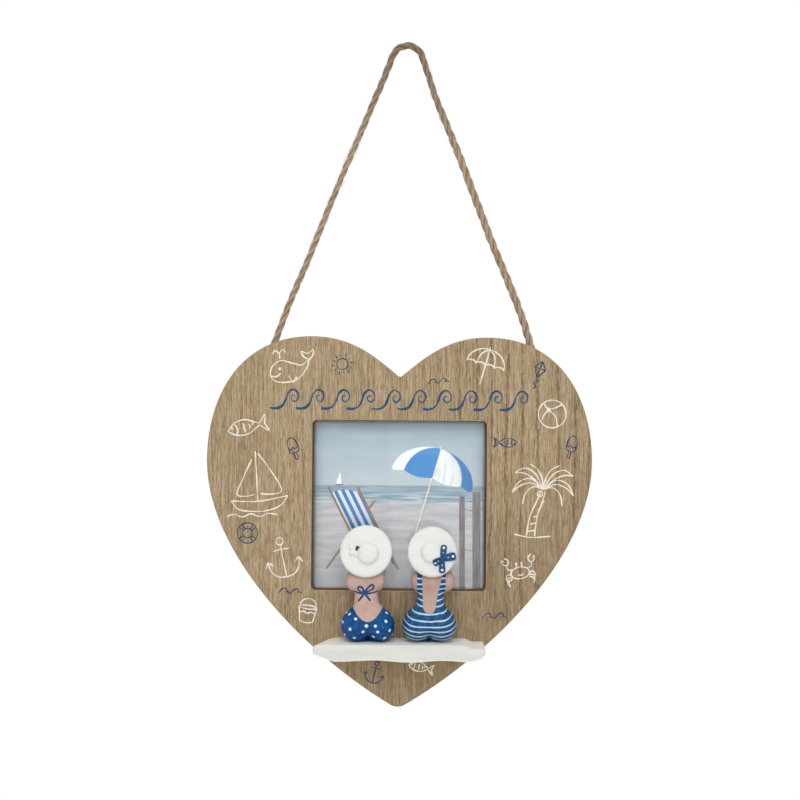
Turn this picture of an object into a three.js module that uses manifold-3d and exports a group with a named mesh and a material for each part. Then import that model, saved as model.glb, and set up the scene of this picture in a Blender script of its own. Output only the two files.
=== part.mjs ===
// A heart-shaped wooden picture frame that hangs from a jute cord. A white ledge low on its front carries
// two seated figures in sun hats. Millimetres, +Z up, the front faces -Y.
// The origin is the hang point: the inside of the cord's bend, in the middle of the board's thickness.
// X is measured from the heart's centre line, apart from the cord's, which is measured from the hang point.

import * as THREE from 'three';
import { mergeVertices } from 'three/addons/utils/BufferGeometryUtils.js';
import Module from 'manifold-3d';

const wasm = await Module();
wasm.setup();

// Fits
const GLUE_GAP = 0.3; // between two glued pieces
const SHEET_GAP = 0.1; // between the sheets that lie in the rebate
const SHEET_PLAY = 0.5; // round the edge of each sheet in the rebate
const TURN_GAP = 0.3; // round a turn button's pivot, above it and below it
const CUT_OVER = 2; // how far a cutting tool reaches past the face that it cuts

// Heart board: each flank and lobe is a curve between the tip, the side, the lobe's top and the cleft
const BOARD_THICKNESS = 12;
const HANG_DROP = 150.6; // hang point to the lobes' tops
const HANG_ASIDE = 2.4; // the hang point lies this far to the right of the heart's centre line
const HEART_WIDTH = 200;
const HEART_HEIGHT = 193.3; // lobes' tops to the point where the flanks would meet
const SIDE_DROP = 64.6; // lobes' tops to the widest level
const CLEFT_DROP = 21.2; // lobes' tops to the bottom of the cleft
const LOBE_OFFSET = 45.7; // centre line to a lobe's top
const TIP_RUN = 49; // the curve's pull at the tip, sideways and up
const TIP_RISE = 29;
const TIP_RADIUS = 7.5;
const SIDE_PULL_BELOW = 47.7;
const SIDE_PULL_ABOVE = 34.3;
const LOBE_PULL_OUT = 36.8;
const LOBE_PULL_IN = 21.6;
const CLEFT_RUN = 12;
const CLEFT_RISE = 10;
const EDGE_EASE = 1.1; // rounding of the board's edges

// Window and the rebate behind it
const WINDOW_WIDTH = 90;
const WINDOW_HEIGHT = 87.6;
const WINDOW_DROP = 43.8; // lobes' tops to the window's upper edge
const WINDOW_CORNER = 2.5;
const REBATE_LIP = 4.5; // how far the lip covers the pane's edge
const REBATE_CORNER = 3;
const PANE_THICKNESS = 2;
const PRINT_THICKNESS = 0.4;
const BACKING_THICKNESS = 3;

// Turn buttons and their screws
const BUTTON_THICKNESS = 1;
const BUTTON_EYE_RADIUS = 4.6;
const BUTTON_TIP_RADIUS = 3;
const BUTTON_LENGTH = 11; // pivot to the centre of the rounded tip
const BUTTON_SETBACK = 7; // rebate's edge to the pivot
const SCREW_RADIUS = 1.3;
const SCREW_DEPTH = 7; // how far the screw goes into the board
const SCREW_POINT = 2;
const SCREW_HEAD_RADIUS = 3;
const SCREW_HEAD_HEIGHT = 1.9;

// Cord
const CORD_DIAMETER = 4;
const CORD_SIDES = 10;
const CORD_STEPS = 76;
// x, z of the cord's middle, from the left socket over the hang point to the right socket
const CORD_ROUTE = [
  [-72.9, -166.6], [-68.4, -154.4], [-65.9, -147.6], [-60.0, -131.8], [-51.2, -110.8], [-43.0, -89.8],
  [-34.6, -68.9], [-25.8, -47.9], [-17.1, -26.9], [-13.7, -19.0], [-9.9, -9.4], [-7.5, -3.1], [-6.3, -1.1],
  [-4.5, 0.6], [-2.3, 1.6], [0, 2], [2.3, 1.6], [4.5, 0.6], [6.3, -1.1], [7.5, -3.1], [9.6, -9.4],
  [12.8, -18.8], [15.5, -26.6], [19.8, -37.0], [28.5, -57.9], [36.5, -78.7], [44.6, -99.6], [53.3, -120.4],
  [61.6, -141.3], [65.8, -155.2], [69.5, -167.6],
];
const SOCKET_PLAY = 0.4; // round the cord's end in its socket

// Ledge
const LEDGE_RISE = 37.1; // point where the flanks would meet to the ledge's top
const LEDGE_PLACE = 0.25; // its middle, to the right of the hang point
const LEDGE_LENGTH = 87.5;
const LEDGE_DEPTH = 22;
const LEDGE_THICKNESS = 8.4;
const LEDGE_ROUND = 1.8; // rounding of the long edges
const LEDGE_EDGE_SHARE = 0.45; // that rounding at the thin ends, as a share of their thickness
const LEDGE_WAVE = 0.6; // height of the waves in its front and underside
const LEDGE_WAVE_LENGTH = 35.6;
const LEDGE_WAVE_START = -4; // where a wave starts, from the ledge's middle
const LEDGE_LEFT_SLANT = 7.2; // how far the left end is cut back at the board
const LEDGE_LEFT_RUN = 7; // where the top starts to fall towards the left end, and how far it falls
const LEDGE_LEFT_FALL = 1;
const LEDGE_RIGHT_RUN = 11; // where the top starts to fall to the right, over what length and how far
const LEDGE_RIGHT_STEP = 5.5;
const LEDGE_RIGHT_FALL = 1.5;
const LEDGE_LEFT_CUT = 11; // the cut across the lower left corner, along and up
const LEDGE_LEFT_RISE = 3.2;
const LEDGE_RIGHT_ROUND = 12; // the rounding of the lower right corner, along and up
const LEDGE_RIGHT_RISE = 5;

// Figures: soft balls that run into one another. Heights are above the ledge, depths in front of the board.
// Each ball has a level and three half sizes: across, deep and tall.
// A figure leans by so much at the shoulders, and sways by so much at the waist.
const FIGURE_DEPTH = 9.5; // board to the middle of the body
const BODY_BLEND = 2.6; // higher keeps the balls apart, lower lets them run together
const BODY_CORE = 0.5; // least reach of the body from its middle line, where the hips part
const HIP_WIDTH = 27.6;
const HIP = { across: 7.3, deep: 9.7, tall: 7.9 };
const LOIN = { level: 13.5, deep: 6.4, tall: 6.6 };
const LOIN_FLARE = 2.6; // loin past the waist, each side
const RUMP = { level: 10.2, across: 5.5, deep: 8.9, tall: 5.5 }; // fills the hollow between the hips
const WAIST = { level: 21.5, deep: 4.4, tall: 7.5 };
const CHEST = { level: 31, across: 6.2, deep: 5.2, tall: 6.5 };
const ARM = { level: 31, across: 4, deep: 4.4, tall: 5.2 };
const NECK = { level: 39, across: 3.2, deep: 3.2, tall: 6 };
const HEAD_RADIUS = 6.6;
const LEFT_FIGURE = {
  place: -15.5,
  hipLevel: 7.9,
  waist: 6.1,
  sway: -0.9,
  shoulders: 20.4,
  lean: -1.45,
  hatPlace: -16.6,
  hatWidth: 26.4,
  hatHeight: 26.4,
};
const RIGHT_FIGURE = {
  place: 15.9,
  hipLevel: 8.3,
  waist: 6.7,
  sway: 0.6,
  shoulders: 22.6,
  lean: 1.6,
  hatPlace: 17,
  hatWidth: 24.8,
  hatHeight: 25.6,
};

// Hats: worn so that the crown faces the viewer
const HAT_LEVEL = 46.6; // ledge to the hat's middle
const HAT_DEPTH = 16.6; // board to the front of the brim
const HAT_TILT = 6; // degrees that the crown looks up
const CROWN_RADIUS = 5.4;
const CROWN_HEIGHT = 3;
const CROWN_FLATNESS = 0.7; // 1 is an ellipse, less is flatter
const CROWN_FOOT = 2.6; // width of the soft step round the crown
const CROWN_FOOT_RISE = 0.6; // where the step meets the crown
const BRIM_THICKNESS = 1.6;
const BRIM_FALL = 1.2; // how far the rim lies behind the crown's foot
const HEAD_SINK = 2; // how far the head reaches into the hat

// Ornaments on the hats, placed from the middle of the hat's face
const FLOWER_PLACE = [-5.2, 1.6];
const FLOWER_RADIUS = 3.7;
const FLOWER_PETALS = 5;
const FLOWER_NOTCH = 1.6; // depth of the notches between the petals
const FLOWER_HEIGHT = 2.5; // above the brim
const FLOWER_EYE_RADIUS = 0.9;
const BOW_PLACE = [5, -3.3];
const BOW_HEIGHT = 1.6; // above the brim
const BOW_KNOT_RADIUS = 1.5;
// Each loop or tail: direction in degrees, length and width
const BOW_LOOPS = [[18, 6.6, 4], [204, 5.2, 3.6], [81, 7, 3.3], [271, 7.4, 3.2]];
const ORNAMENT_EASE = 0.4; // rounding of the ornaments' edges

// Worked out from the sizes above
const BOARD_BACK = BOARD_THICKNESS / 2;
const BOARD_FRONT = -BOARD_THICKNESS / 2;
const HEART_TOP = -HANG_DROP;
const WINDOW_LEVEL = HEART_TOP - WINDOW_DROP - WINDOW_HEIGHT / 2;
const REBATE_WIDTH = WINDOW_WIDTH + 2 * REBATE_LIP;
const REBATE_HEIGHT = WINDOW_HEIGHT + 2 * REBATE_LIP;
const REBATE_DEPTH = PANE_THICKNESS + PRINT_THICKNESS + BACKING_THICKNESS + 3 * SHEET_GAP;
const LEDGE_TOP = HEART_TOP - HEART_HEIGHT + LEDGE_RISE;
const SEAT = LEDGE_TOP + GLUE_GAP;
const FACE = BOARD_FRONT - GLUE_GAP; // back of everything that is glued to the board's front
const HEAD_SETBACK = BRIM_THICKNESS + HEAD_RADIUS - HEAD_SINK; // front of the brim to the head's middle

// Fineness of the curved forms
const SPHERE_FACETS = [16, 10]; // round and up
const HEART_STEPS = 10; // in each curve of the heart
const CORNER_STEPS = 4; // in each small corner
const BUTTON_STEPS = 8;
const EASE_STEPS = 2;
const SCREW_FACETS = 12;
const SOCKET_FACETS = 16;
const DOME_STEPS = 4;
const LEDGE_STATIONS = 36;
const LEDGE_CORNER_STEPS = 3;
const BODY_LEVELS = 27;
const BODY_DIRECTIONS = 26;
const BODY_STRIDE = 0.25; // first search for the body's surface
const BODY_HALVINGS = 12; // second search
const HAT_FACETS = 28;
const CROWN_STEPS = 5;
const HOLLOW_STEPS = 3;
const PETAL_STEPS = 6;
const ORNAMENT_STEPS = 6;

// Solids for joining and cutting

function solid(geometry) {
  const bare = geometry.clone();
  bare.deleteAttribute('normal');
  bare.deleteAttribute('uv');
  const merged = mergeVertices(bare);
  const corners = merged.index.array;
  const triangles = [];
  for (let i = 0; i < corners.length; i += 3) {
    const [a, b, c] = corners.slice(i, i + 3);
    if (a !== b && b !== c && c !== a) triangles.push(a, b, c);
  }
  return new wasm.Manifold(new wasm.Mesh({
    numProp: 3,
    vertProperties: Float32Array.from(merged.attributes.position.array),
    triVerts: Uint32Array.from(triangles),
  }));
}

function geometryOf(body) {
  const mesh = body.getMesh();
  const geometry = new THREE.BufferGeometry();
  geometry.setAttribute('position', new THREE.BufferAttribute(mesh.vertProperties, 3));
  geometry.setIndex(new THREE.BufferAttribute(mesh.triVerts, 1));
  geometry.computeVertexNormals();
  return geometry;
}

function paint(color, roughness, metalness = 0) {
  return new THREE.MeshStandardMaterial({ color, roughness, metalness });
}

function piece(name, geometry, material) {
  const mesh = new THREE.Mesh(geometry, material);
  mesh.name = name;
  return mesh;
}

// Basic forms

function roundedRectangle(width, height, radius, middle) {
  const x = width / 2 - radius;
  const z = height / 2 - radius;
  const outline = new THREE.Shape();
  outline.absarc(x, middle + z, radius, 0, Math.PI / 2);
  outline.absarc(-x, middle + z, radius, Math.PI / 2, Math.PI);
  outline.absarc(-x, middle - z, radius, Math.PI, 1.5 * Math.PI);
  outline.absarc(x, middle - z, radius, 1.5 * Math.PI, 2 * Math.PI);
  outline.closePath();
  return outline;
}

// An outline in X and Z, extruded towards the viewer from y = back, with its edges eased if asked
function slab(outline, thickness, back, ease = 0, curveSegments = CORNER_STEPS) {
  const geometry = new THREE.ExtrudeGeometry(outline, {
    depth: thickness - 2 * ease,
    bevelEnabled: ease > 0,
    bevelThickness: ease,
    bevelSize: ease,
    bevelOffset: -ease,
    bevelSegments: EASE_STEPS,
    curveSegments,
  });
  geometry.rotateX(Math.PI / 2);
  geometry.translate(0, back - ease, 0);
  return geometry;
}

function ellipsoid(x, y, z, radiusX, radiusY, radiusZ) {
  const geometry = new THREE.SphereGeometry(1, ...SPHERE_FACETS);
  geometry.rotateX(Math.PI / 2);
  geometry.scale(radiusX, radiusY, radiusZ);
  geometry.translate(x, y, z);
  return geometry;
}

// A turned form about Y, from points of radius and height
function latheOf(points, facets) {
  const profile = points.map(([radius, height]) => new THREE.Vector2(radius, height));
  return new THREE.LatheGeometry(profile, facets);
}

// A skin over a row of closed rings, with fans at both ends; each ring turns left, seen from the row's end
function loft(rings) {
  const count = rings[0].length;
  const middleOf = (ring) => [0, 1, 2].map((k) => ring.reduce((sum, p) => sum + p[k], 0) / count);
  const last = rings.length - 1;
  const points = [...rings.flat(), middleOf(rings[0]), middleOf(rings[last])];
  const startMiddle = points.length - 2;
  const endMiddle = points.length - 1;
  const faces = [];
  for (let j = 0; j < count; j += 1) {
    const next = (j + 1) % count;
    for (let i = 0; i < last; i += 1) {
      const a = i * count + j;
      const b = i * count + next;
      faces.push(a, b, b + count, a, b + count, a + count);
    }
    faces.push(startMiddle, next, j);
    faces.push(endMiddle, last * count + j, last * count + next);
  }
  const geometry = new THREE.BufferGeometry();
  geometry.setAttribute('position', new THREE.Float32BufferAttribute(points.flat(), 3));
  geometry.setIndex(faces);
  geometry.computeVertexNormals();
  return geometry;
}

// Heart board

function heartOutline() {
  const half = HEART_WIDTH / 2;
  const side = HEART_TOP - SIDE_DROP;
  const cleft = HEART_TOP - CLEFT_DROP;
  const tip = HEART_TOP - HEART_HEIGHT;
  const lobeIn = LOBE_OFFSET - LOBE_PULL_IN;
  const lobeOut = LOBE_OFFSET + LOBE_PULL_OUT;
  const tipAngle = Math.atan2(TIP_RUN, TIP_RISE); // between a flank and the centre line
  const setback = TIP_RADIUS / Math.tan(tipAngle);
  const startX = setback * Math.sin(tipAngle);
  const startZ = tip + setback * Math.cos(tipAngle);

  const outline = new THREE.Shape();
  outline.moveTo(startX, startZ);
  outline.bezierCurveTo(TIP_RUN, tip + TIP_RISE, half, side - SIDE_PULL_BELOW, half, side);
  outline.bezierCurveTo(half, side + SIDE_PULL_ABOVE, lobeOut, HEART_TOP, LOBE_OFFSET, HEART_TOP);
  outline.bezierCurveTo(lobeIn, HEART_TOP, CLEFT_RUN, cleft + CLEFT_RISE, 0, cleft);
  outline.bezierCurveTo(-CLEFT_RUN, cleft + CLEFT_RISE, -lobeIn, HEART_TOP, -LOBE_OFFSET, HEART_TOP);
  outline.bezierCurveTo(-lobeOut, HEART_TOP, -half, side + SIDE_PULL_ABOVE, -half, side);
  outline.bezierCurveTo(-half, side - SIDE_PULL_BELOW, -TIP_RUN, tip + TIP_RISE, -startX, startZ);
  outline.absarc(0, tip + TIP_RADIUS / Math.sin(tipAngle), TIP_RADIUS, tipAngle - Math.PI, -tipAngle);
  return outline;
}

// A blind hole along the cord's end, a little deeper than the cord goes
function cordSocket(end, exit) {
  const inward = new THREE.Vector3(end[0] - exit[0], 0, end[1] - exit[1]);
  const depth = inward.length() + GLUE_GAP;
  inward.normalize();
  const length = depth + CUT_OVER * CORD_DIAMETER;
  const radius = CORD_DIAMETER / 2 + SOCKET_PLAY;
  const hole = new THREE.CylinderGeometry(radius, radius, length, SOCKET_FACETS);
  hole.applyQuaternion(new THREE.Quaternion().setFromUnitVectors(new THREE.Vector3(0, 1, 0), inward));
  const middle = depth - length / 2;
  hole.translate(exit[0] + HANG_ASIDE + inward.x * middle, 0, exit[1] + inward.z * middle);
  return hole;
}

function heartBoard(buttonPlaces) {
  const outline = heartOutline();
  outline.holes.push(roundedRectangle(WINDOW_WIDTH, WINDOW_HEIGHT, WINDOW_CORNER, WINDOW_LEVEL));
  const rebate = roundedRectangle(REBATE_WIDTH, REBATE_HEIGHT, REBATE_CORNER, WINDOW_LEVEL);
  let board = solid(slab(outline, BOARD_THICKNESS, BOARD_BACK, EDGE_EASE, HEART_STEPS));
  board = board.subtract(solid(slab(rebate, REBATE_DEPTH + CUT_OVER, BOARD_BACK + CUT_OVER)));
  const last = CORD_ROUTE.length - 1;
  board = board.subtract(solid(cordSocket(CORD_ROUTE[0], CORD_ROUTE[1])));
  board = board.subtract(solid(cordSocket(CORD_ROUTE[last], CORD_ROUTE[last - 1])));
  for (const { x, z } of buttonPlaces) {
    const length = SCREW_DEPTH + TURN_GAP + CUT_OVER;
    const radius = SCREW_RADIUS + TURN_GAP;
    const pilot = new THREE.CylinderGeometry(radius, radius, length, SCREW_FACETS);
    pilot.translate(x, BOARD_BACK + CUT_OVER - length / 2, z);
    board = board.subtract(solid(pilot));
  }
  return piece('heart_board', geometryOf(board), paint(0xa69276, 0.75));
}

// Sheets in the rebate: the pane lies against the lip, the backing closes flush with the board's back

function rebateSheet(name, thickness, back, material) {
  const width = REBATE_WIDTH - 2 * SHEET_PLAY;
  const height = REBATE_HEIGHT - 2 * SHEET_PLAY;
  const outline = roundedRectangle(width, height, REBATE_CORNER, WINDOW_LEVEL);
  return piece(name, slab(outline, thickness, back), material);
}

function rebateSheets() {
  const printBack = BOARD_BACK - BACKING_THICKNESS - SHEET_GAP;
  const paneBack = printBack - PRINT_THICKNESS - SHEET_GAP;
  const clear = paint(0xf2f6f7, 0.05);
  clear.transparent = true;
  clear.opacity = 0.2;
  return [
    rebateSheet('backing_panel', BACKING_THICKNESS, BOARD_BACK, paint(0x7a6048, 0.85)),
    rebateSheet('photo_print', PRINT_THICKNESS, printBack, paint(0xb4bcc4, 0.5)),
    rebateSheet('glazing_pane', PANE_THICKNESS, paneBack, clear),
  ];
}

// Turn buttons: one at the middle of each side of the rebate, pointing in over the backing

function turnButtonPlaces() {
  const sideways = REBATE_WIDTH / 2 + BUTTON_SETBACK;
  const upward = REBATE_HEIGHT / 2 + BUTTON_SETBACK;
  return [
    { side: 'top', x: 0, z: WINDOW_LEVEL + upward, turn: Math.PI / 2 },
    { side: 'right', x: sideways, z: WINDOW_LEVEL, turn: Math.PI },
    { side: 'bottom', x: 0, z: WINDOW_LEVEL - upward, turn: -Math.PI / 2 },
    { side: 'left', x: -sideways, z: WINDOW_LEVEL, turn: 0 },
  ];
}

function turnButtonOutline() {
  const tangent = Math.acos((BUTTON_EYE_RADIUS - BUTTON_TIP_RADIUS) / BUTTON_LENGTH);
  const outline = new THREE.Shape();
  outline.absarc(0, 0, BUTTON_EYE_RADIUS, tangent, 2 * Math.PI - tangent);
  outline.absarc(BUTTON_LENGTH, 0, BUTTON_TIP_RADIUS, -tangent, tangent);
  outline.closePath();
  const eye = new THREE.Path();
  eye.absarc(0, 0, SCREW_RADIUS + TURN_GAP, 0, 2 * Math.PI);
  outline.holes.push(eye);
  return outline;
}

function turnButton({ side, x, z, turn }) {
  const plate = slab(turnButtonOutline(), BUTTON_THICKNESS, TURN_GAP + BUTTON_THICKNESS, 0, BUTTON_STEPS);
  const button = piece(`turn_button_${side}`, plate, paint(0xb9bbbd, 0.35, 1));
  button.position.set(x, BOARD_BACK, z);
  button.rotation.y = turn;
  return button;
}

function buttonScrew({ side, x, z }) {
  const under = TURN_GAP + BUTTON_THICKNESS + TURN_GAP;
  const profile = [
    [0, -SCREW_DEPTH],
    [SCREW_RADIUS, SCREW_POINT - SCREW_DEPTH],
    [SCREW_RADIUS, under],
    [SCREW_HEAD_RADIUS, under],
  ];
  for (let i = 1; i <= DOME_STEPS; i += 1) {
    const angle = (i / DOME_STEPS) * (Math.PI / 2);
    const radius = i < DOME_STEPS ? SCREW_HEAD_RADIUS * Math.cos(angle) : 0;
    profile.push([radius, under + SCREW_HEAD_HEIGHT * Math.sin(angle)]);
  }
  const screw = piece(`button_screw_${side}`, latheOf(profile, SCREW_FACETS), paint(0xc4c5c6, 0.3, 1));
  screw.position.set(x, BOARD_BACK, z);
  return screw;
}

// Cord

function hangingCord() {
  const route = CORD_ROUTE.map(([x, z]) => new THREE.Vector3(x, 0, z));
  const section = new THREE.Shape();
  for (let i = 0; i < CORD_SIDES; i += 1) {
    const angle = (i / CORD_SIDES) * 2 * Math.PI;
    const x = Math.cos(angle) * CORD_DIAMETER / 2;
    const y = Math.sin(angle) * CORD_DIAMETER / 2;
    if (i === 0) section.moveTo(x, y);
    else section.lineTo(x, y);
  }
  section.closePath();
  const tube = new THREE.ExtrudeGeometry(section, {
    steps: CORD_STEPS,
    extrudePath: new THREE.CatmullRomCurve3(route, false, 'centripetal'),
  });
  return piece('hanging_cord', tube, paint(0xab8c68, 0.95));
}

// Ledge: a loft along its length, with a wavy front and underside, a cut left end and a round right end

function ledgeSection(along) {
  const half = LEDGE_LENGTH / 2;
  const wave = LEDGE_WAVE * Math.sin((2 * Math.PI * (along - LEDGE_WAVE_START)) / LEDGE_WAVE_LENGTH);
  const fromLeft = along + half;
  const fromRight = half - along;
  const leftFall = LEDGE_LEFT_FALL * Math.max(0, 1 - fromLeft / LEDGE_LEFT_RUN) ** 2;
  const rightFall = LEDGE_RIGHT_FALL
    * THREE.MathUtils.smoothstep(LEDGE_RIGHT_RUN - fromRight, 0, LEDGE_RIGHT_STEP);
  const top = LEDGE_TOP - leftFall - rightFall;
  let bottom = LEDGE_TOP - LEDGE_THICKNESS - wave / 2;
  if (fromLeft < LEDGE_LEFT_CUT) bottom += LEDGE_LEFT_RISE * (1 - fromLeft / LEDGE_LEFT_CUT);
  if (fromRight < LEDGE_RIGHT_ROUND) {
    const past = 1 - fromRight / LEDGE_RIGHT_ROUND;
    bottom += LEDGE_RIGHT_RISE * (1 - Math.sqrt(1 - past * past));
  }
  const nearEnd = Math.min(1, Math.min(fromLeft, fromRight) / LEDGE_ROUND);
  const endRound = LEDGE_ROUND * (1 - Math.sqrt(nearEnd * (2 - nearEnd)));
  const front = FACE - LEDGE_DEPTH - wave + endRound;
  const corner = Math.min(LEDGE_ROUND, LEDGE_EDGE_SHARE * (top - bottom));
  const section = [[FACE, bottom], [FACE, top]];
  for (let i = 0; i <= LEDGE_CORNER_STEPS; i += 1) {
    const angle = (i / LEDGE_CORNER_STEPS) * (Math.PI / 2);
    section.push([front + corner * (1 - Math.sin(angle)), top - corner * (1 - Math.cos(angle))]);
  }
  for (let i = 0; i <= LEDGE_CORNER_STEPS; i += 1) {
    const angle = (i / LEDGE_CORNER_STEPS) * (Math.PI / 2);
    section.push([front + corner * (1 - Math.cos(angle)), bottom + corner * (1 - Math.sin(angle))]);
  }
  return section;
}

function driftwoodLedge() {
  const half = LEDGE_LENGTH / 2;
  const rings = [];
  for (let i = 0; i <= LEDGE_STATIONS; i += 1) {
    const along = -half * Math.cos((i / LEDGE_STATIONS) * Math.PI);
    rings.push(ledgeSection(along).map(([y, z]) => {
      const towardsBoard = 1 - (FACE - y) / LEDGE_DEPTH;
      const slant = LEDGE_LEFT_SLANT * towardsBoard * (half - along) / LEDGE_LENGTH;
      return [LEDGE_PLACE + along + slant, y, z];
    }));
  }
  return piece('driftwood_ledge', loft(rings), paint(0xdedfdb, 0.6));
}

// Figures

function hatFrame(figure) {
  const tilt = THREE.MathUtils.degToRad(HAT_TILT);
  return {
    origin: new THREE.Vector3(figure.hatPlace, BOARD_FRONT - HAT_DEPTH, LEDGE_TOP + HAT_LEVEL),
    outward: new THREE.Vector3(0, -Math.cos(tilt), Math.sin(tilt)),
    turn: Math.PI - tilt,
  };
}

function bodyBalls(figure) {
  const hip = HIP_WIDTH / 2 - HIP.across;
  const arm = figure.shoulders / 2 - ARM.across;
  const middle = [
    { ...LOIN, across: figure.waist + LOIN_FLARE, x: 0 },
    { ...RUMP, x: 0 },
    { ...WAIST, across: figure.waist, x: figure.sway },
    { ...CHEST, x: figure.lean },
    { ...NECK, x: figure.lean },
  ];
  const pairs = [-1, 1].flatMap((side) => [
    { ...HIP, level: figure.hipLevel, x: side * hip },
    { ...ARM, x: side * arm + figure.lean },
  ]);
  return [...middle, ...pairs];
}

// Distance from the body's middle line out to its surface, in one direction at one height
function bodyReach(balls, direction, height) {
  const isInside = (reach) => {
    const x = reach * Math.cos(direction);
    const y = reach * Math.sin(direction);
    const sum = balls.reduce((total, ball) => {
      const square = ((x - ball.x) / ball.across) ** 2 + (y / ball.deep) ** 2
        + ((height - ball.level) / ball.tall) ** 2;
      return total + Math.exp(BODY_BLEND * (1 - square));
    }, 0);
    return sum >= 1;
  };
  let outside = HIP_WIDTH;
  let inside = outside;
  while (inside > 0 && !isInside(inside)) {
    outside = inside;
    inside -= BODY_STRIDE;
  }
  for (let i = 0; i < BODY_HALVINGS; i += 1) {
    const between = (inside + outside) / 2;
    if (isInside(between)) inside = between;
    else outside = between;
  }
  return Math.max(inside, BODY_CORE);
}

function figureBody(figure) {
  const middle = BOARD_FRONT - FIGURE_DEPTH;
  const hat = hatFrame(figure);
  const head = hat.origin.clone().addScaledVector(hat.outward, -HEAD_SETBACK);
  const top = head.z - LEDGE_TOP;
  const balls = bodyBalls(figure);
  const rings = [];
  for (let i = 0; i <= BODY_LEVELS; i += 1) {
    const height = top * (i / BODY_LEVELS);
    const ring = [];
    for (let j = 0; j < BODY_DIRECTIONS; j += 1) {
      const direction = ((j + 0.5) / BODY_DIRECTIONS) * 2 * Math.PI;
      const reach = bodyReach(balls, direction, height);
      const x = figure.place + reach * Math.cos(direction);
      ring.push([x, middle + reach * Math.sin(direction), LEDGE_TOP + height]);
    }
    rings.push(ring);
  }
  let body = solid(loft(rings));
  body = body.add(solid(ellipsoid(head.x, head.y, head.z, HEAD_RADIUS, HEAD_RADIUS, HEAD_RADIUS)));
  return body.intersect(solid(seatBlock()));
}

// The space above the ledge and in front of the board, which gives each figure its two flat faces
function seatBlock() {
  const size = HEART_WIDTH;
  const block = new THREE.BoxGeometry(size, size, size);
  block.translate(0, FACE - size / 2, SEAT + size / 2);
  return block;
}

// Hats

// Front of the hat from the crown's top to the rim, as radius and height above the crown's foot
function hatFront(rim) {
  const foot = CROWN_RADIUS + CROWN_FOOT;
  const front = [];
  for (let i = 0; i < CROWN_STEPS; i += 1) {
    const angle = (i / CROWN_STEPS) * (Math.PI / 2);
    const out = Math.sin(angle) ** CROWN_FLATNESS;
    front.push([CROWN_RADIUS * out, CROWN_HEIGHT * Math.cos(angle) ** CROWN_FLATNESS]);
  }
  front.push([CROWN_RADIUS + CROWN_FOOT / 4, CROWN_FOOT_RISE]);
  front.push([foot, 0]);
  front.push([(foot + rim) / 2, -BRIM_FALL / 3]);
  front.push([rim - BRIM_THICKNESS / 2, BRIM_THICKNESS / 5 - BRIM_FALL]);
  front.push([rim, -BRIM_THICKNESS / 3 - BRIM_FALL]);
  return front;
}

function hatBody(figure) {
  const rim = figure.hatHeight / 2;
  const under = -BRIM_THICKNESS;
  const hollow = HEAD_RADIUS + GLUE_GAP;
  const mouth = Math.sqrt(hollow ** 2 - (HEAD_SETBACK + under) ** 2);
  const profile = hatFront(rim).reverse();
  profile.unshift([mouth, under], [rim - BRIM_THICKNESS / 2, under - BRIM_FALL]);
  const mouthAngle = Math.asin(mouth / hollow);
  const inside = [];
  for (let i = 0; i < HOLLOW_STEPS; i += 1) {
    const angle = (i / HOLLOW_STEPS) * mouthAngle;
    inside.push([hollow * Math.sin(angle), hollow * Math.cos(angle) - HEAD_SETBACK]);
  }
  const hat = latheOf([...inside, ...profile], HAT_FACETS);
  hat.scale(figure.hatWidth / figure.hatHeight, 1, 1);
  return hat;
}

// The hat's front, raised by the glue's thickness, as the tool that shapes the back of an ornament
function ornamentBed(figure) {
  const rim = figure.hatHeight / 2;
  const raised = hatFront(rim).map(([radius, height]) => [radius && radius + GLUE_GAP, height + GLUE_GAP]);
  const deep = -CROWN_HEIGHT - CUT_OVER;
  const bed = latheOf([[0, deep], [rim + GLUE_GAP, deep], ...raised.reverse()], HAT_FACETS);
  bed.scale(figure.hatWidth / figure.hatHeight, 1, 1);
  return solid(bed);
}

// An outline on the hat's face, from well inside the hat up to the given height
function onHatFace(outline, place, height) {
  const deep = 2 * BRIM_THICKNESS;
  const geometry = new THREE.ExtrudeGeometry(outline, {
    depth: height + deep - ORNAMENT_EASE,
    bevelThickness: ORNAMENT_EASE,
    bevelSize: ORNAMENT_EASE,
    bevelOffset: -ORNAMENT_EASE,
    bevelSegments: EASE_STEPS,
    curveSegments: ORNAMENT_STEPS,
  });
  geometry.translate(0, 0, -deep);
  geometry.rotateX(-Math.PI / 2);
  geometry.translate(place[0], 0, -place[1]);
  return geometry;
}

function hatFlower(figure) {
  const petals = new THREE.Shape();
  const points = PETAL_STEPS * FLOWER_PETALS;
  for (let i = 0; i < points; i += 1) {
    const angle = (i / points) * 2 * Math.PI;
    const radius = FLOWER_RADIUS - (FLOWER_NOTCH / 2) * (1 - Math.cos(FLOWER_PETALS * angle));
    if (i === 0) petals.moveTo(radius, 0);
    else petals.lineTo(radius * Math.cos(angle), radius * Math.sin(angle));
  }
  petals.closePath();
  const [x, up] = FLOWER_PLACE;
  let flower = solid(onHatFace(petals, FLOWER_PLACE, FLOWER_HEIGHT));
  flower = flower.add(solid(ellipsoid(
    x, FLOWER_HEIGHT, -up, FLOWER_EYE_RADIUS, FLOWER_EYE_RADIUS, FLOWER_EYE_RADIUS)));
  return flower.subtract(ornamentBed(figure));
}

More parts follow.
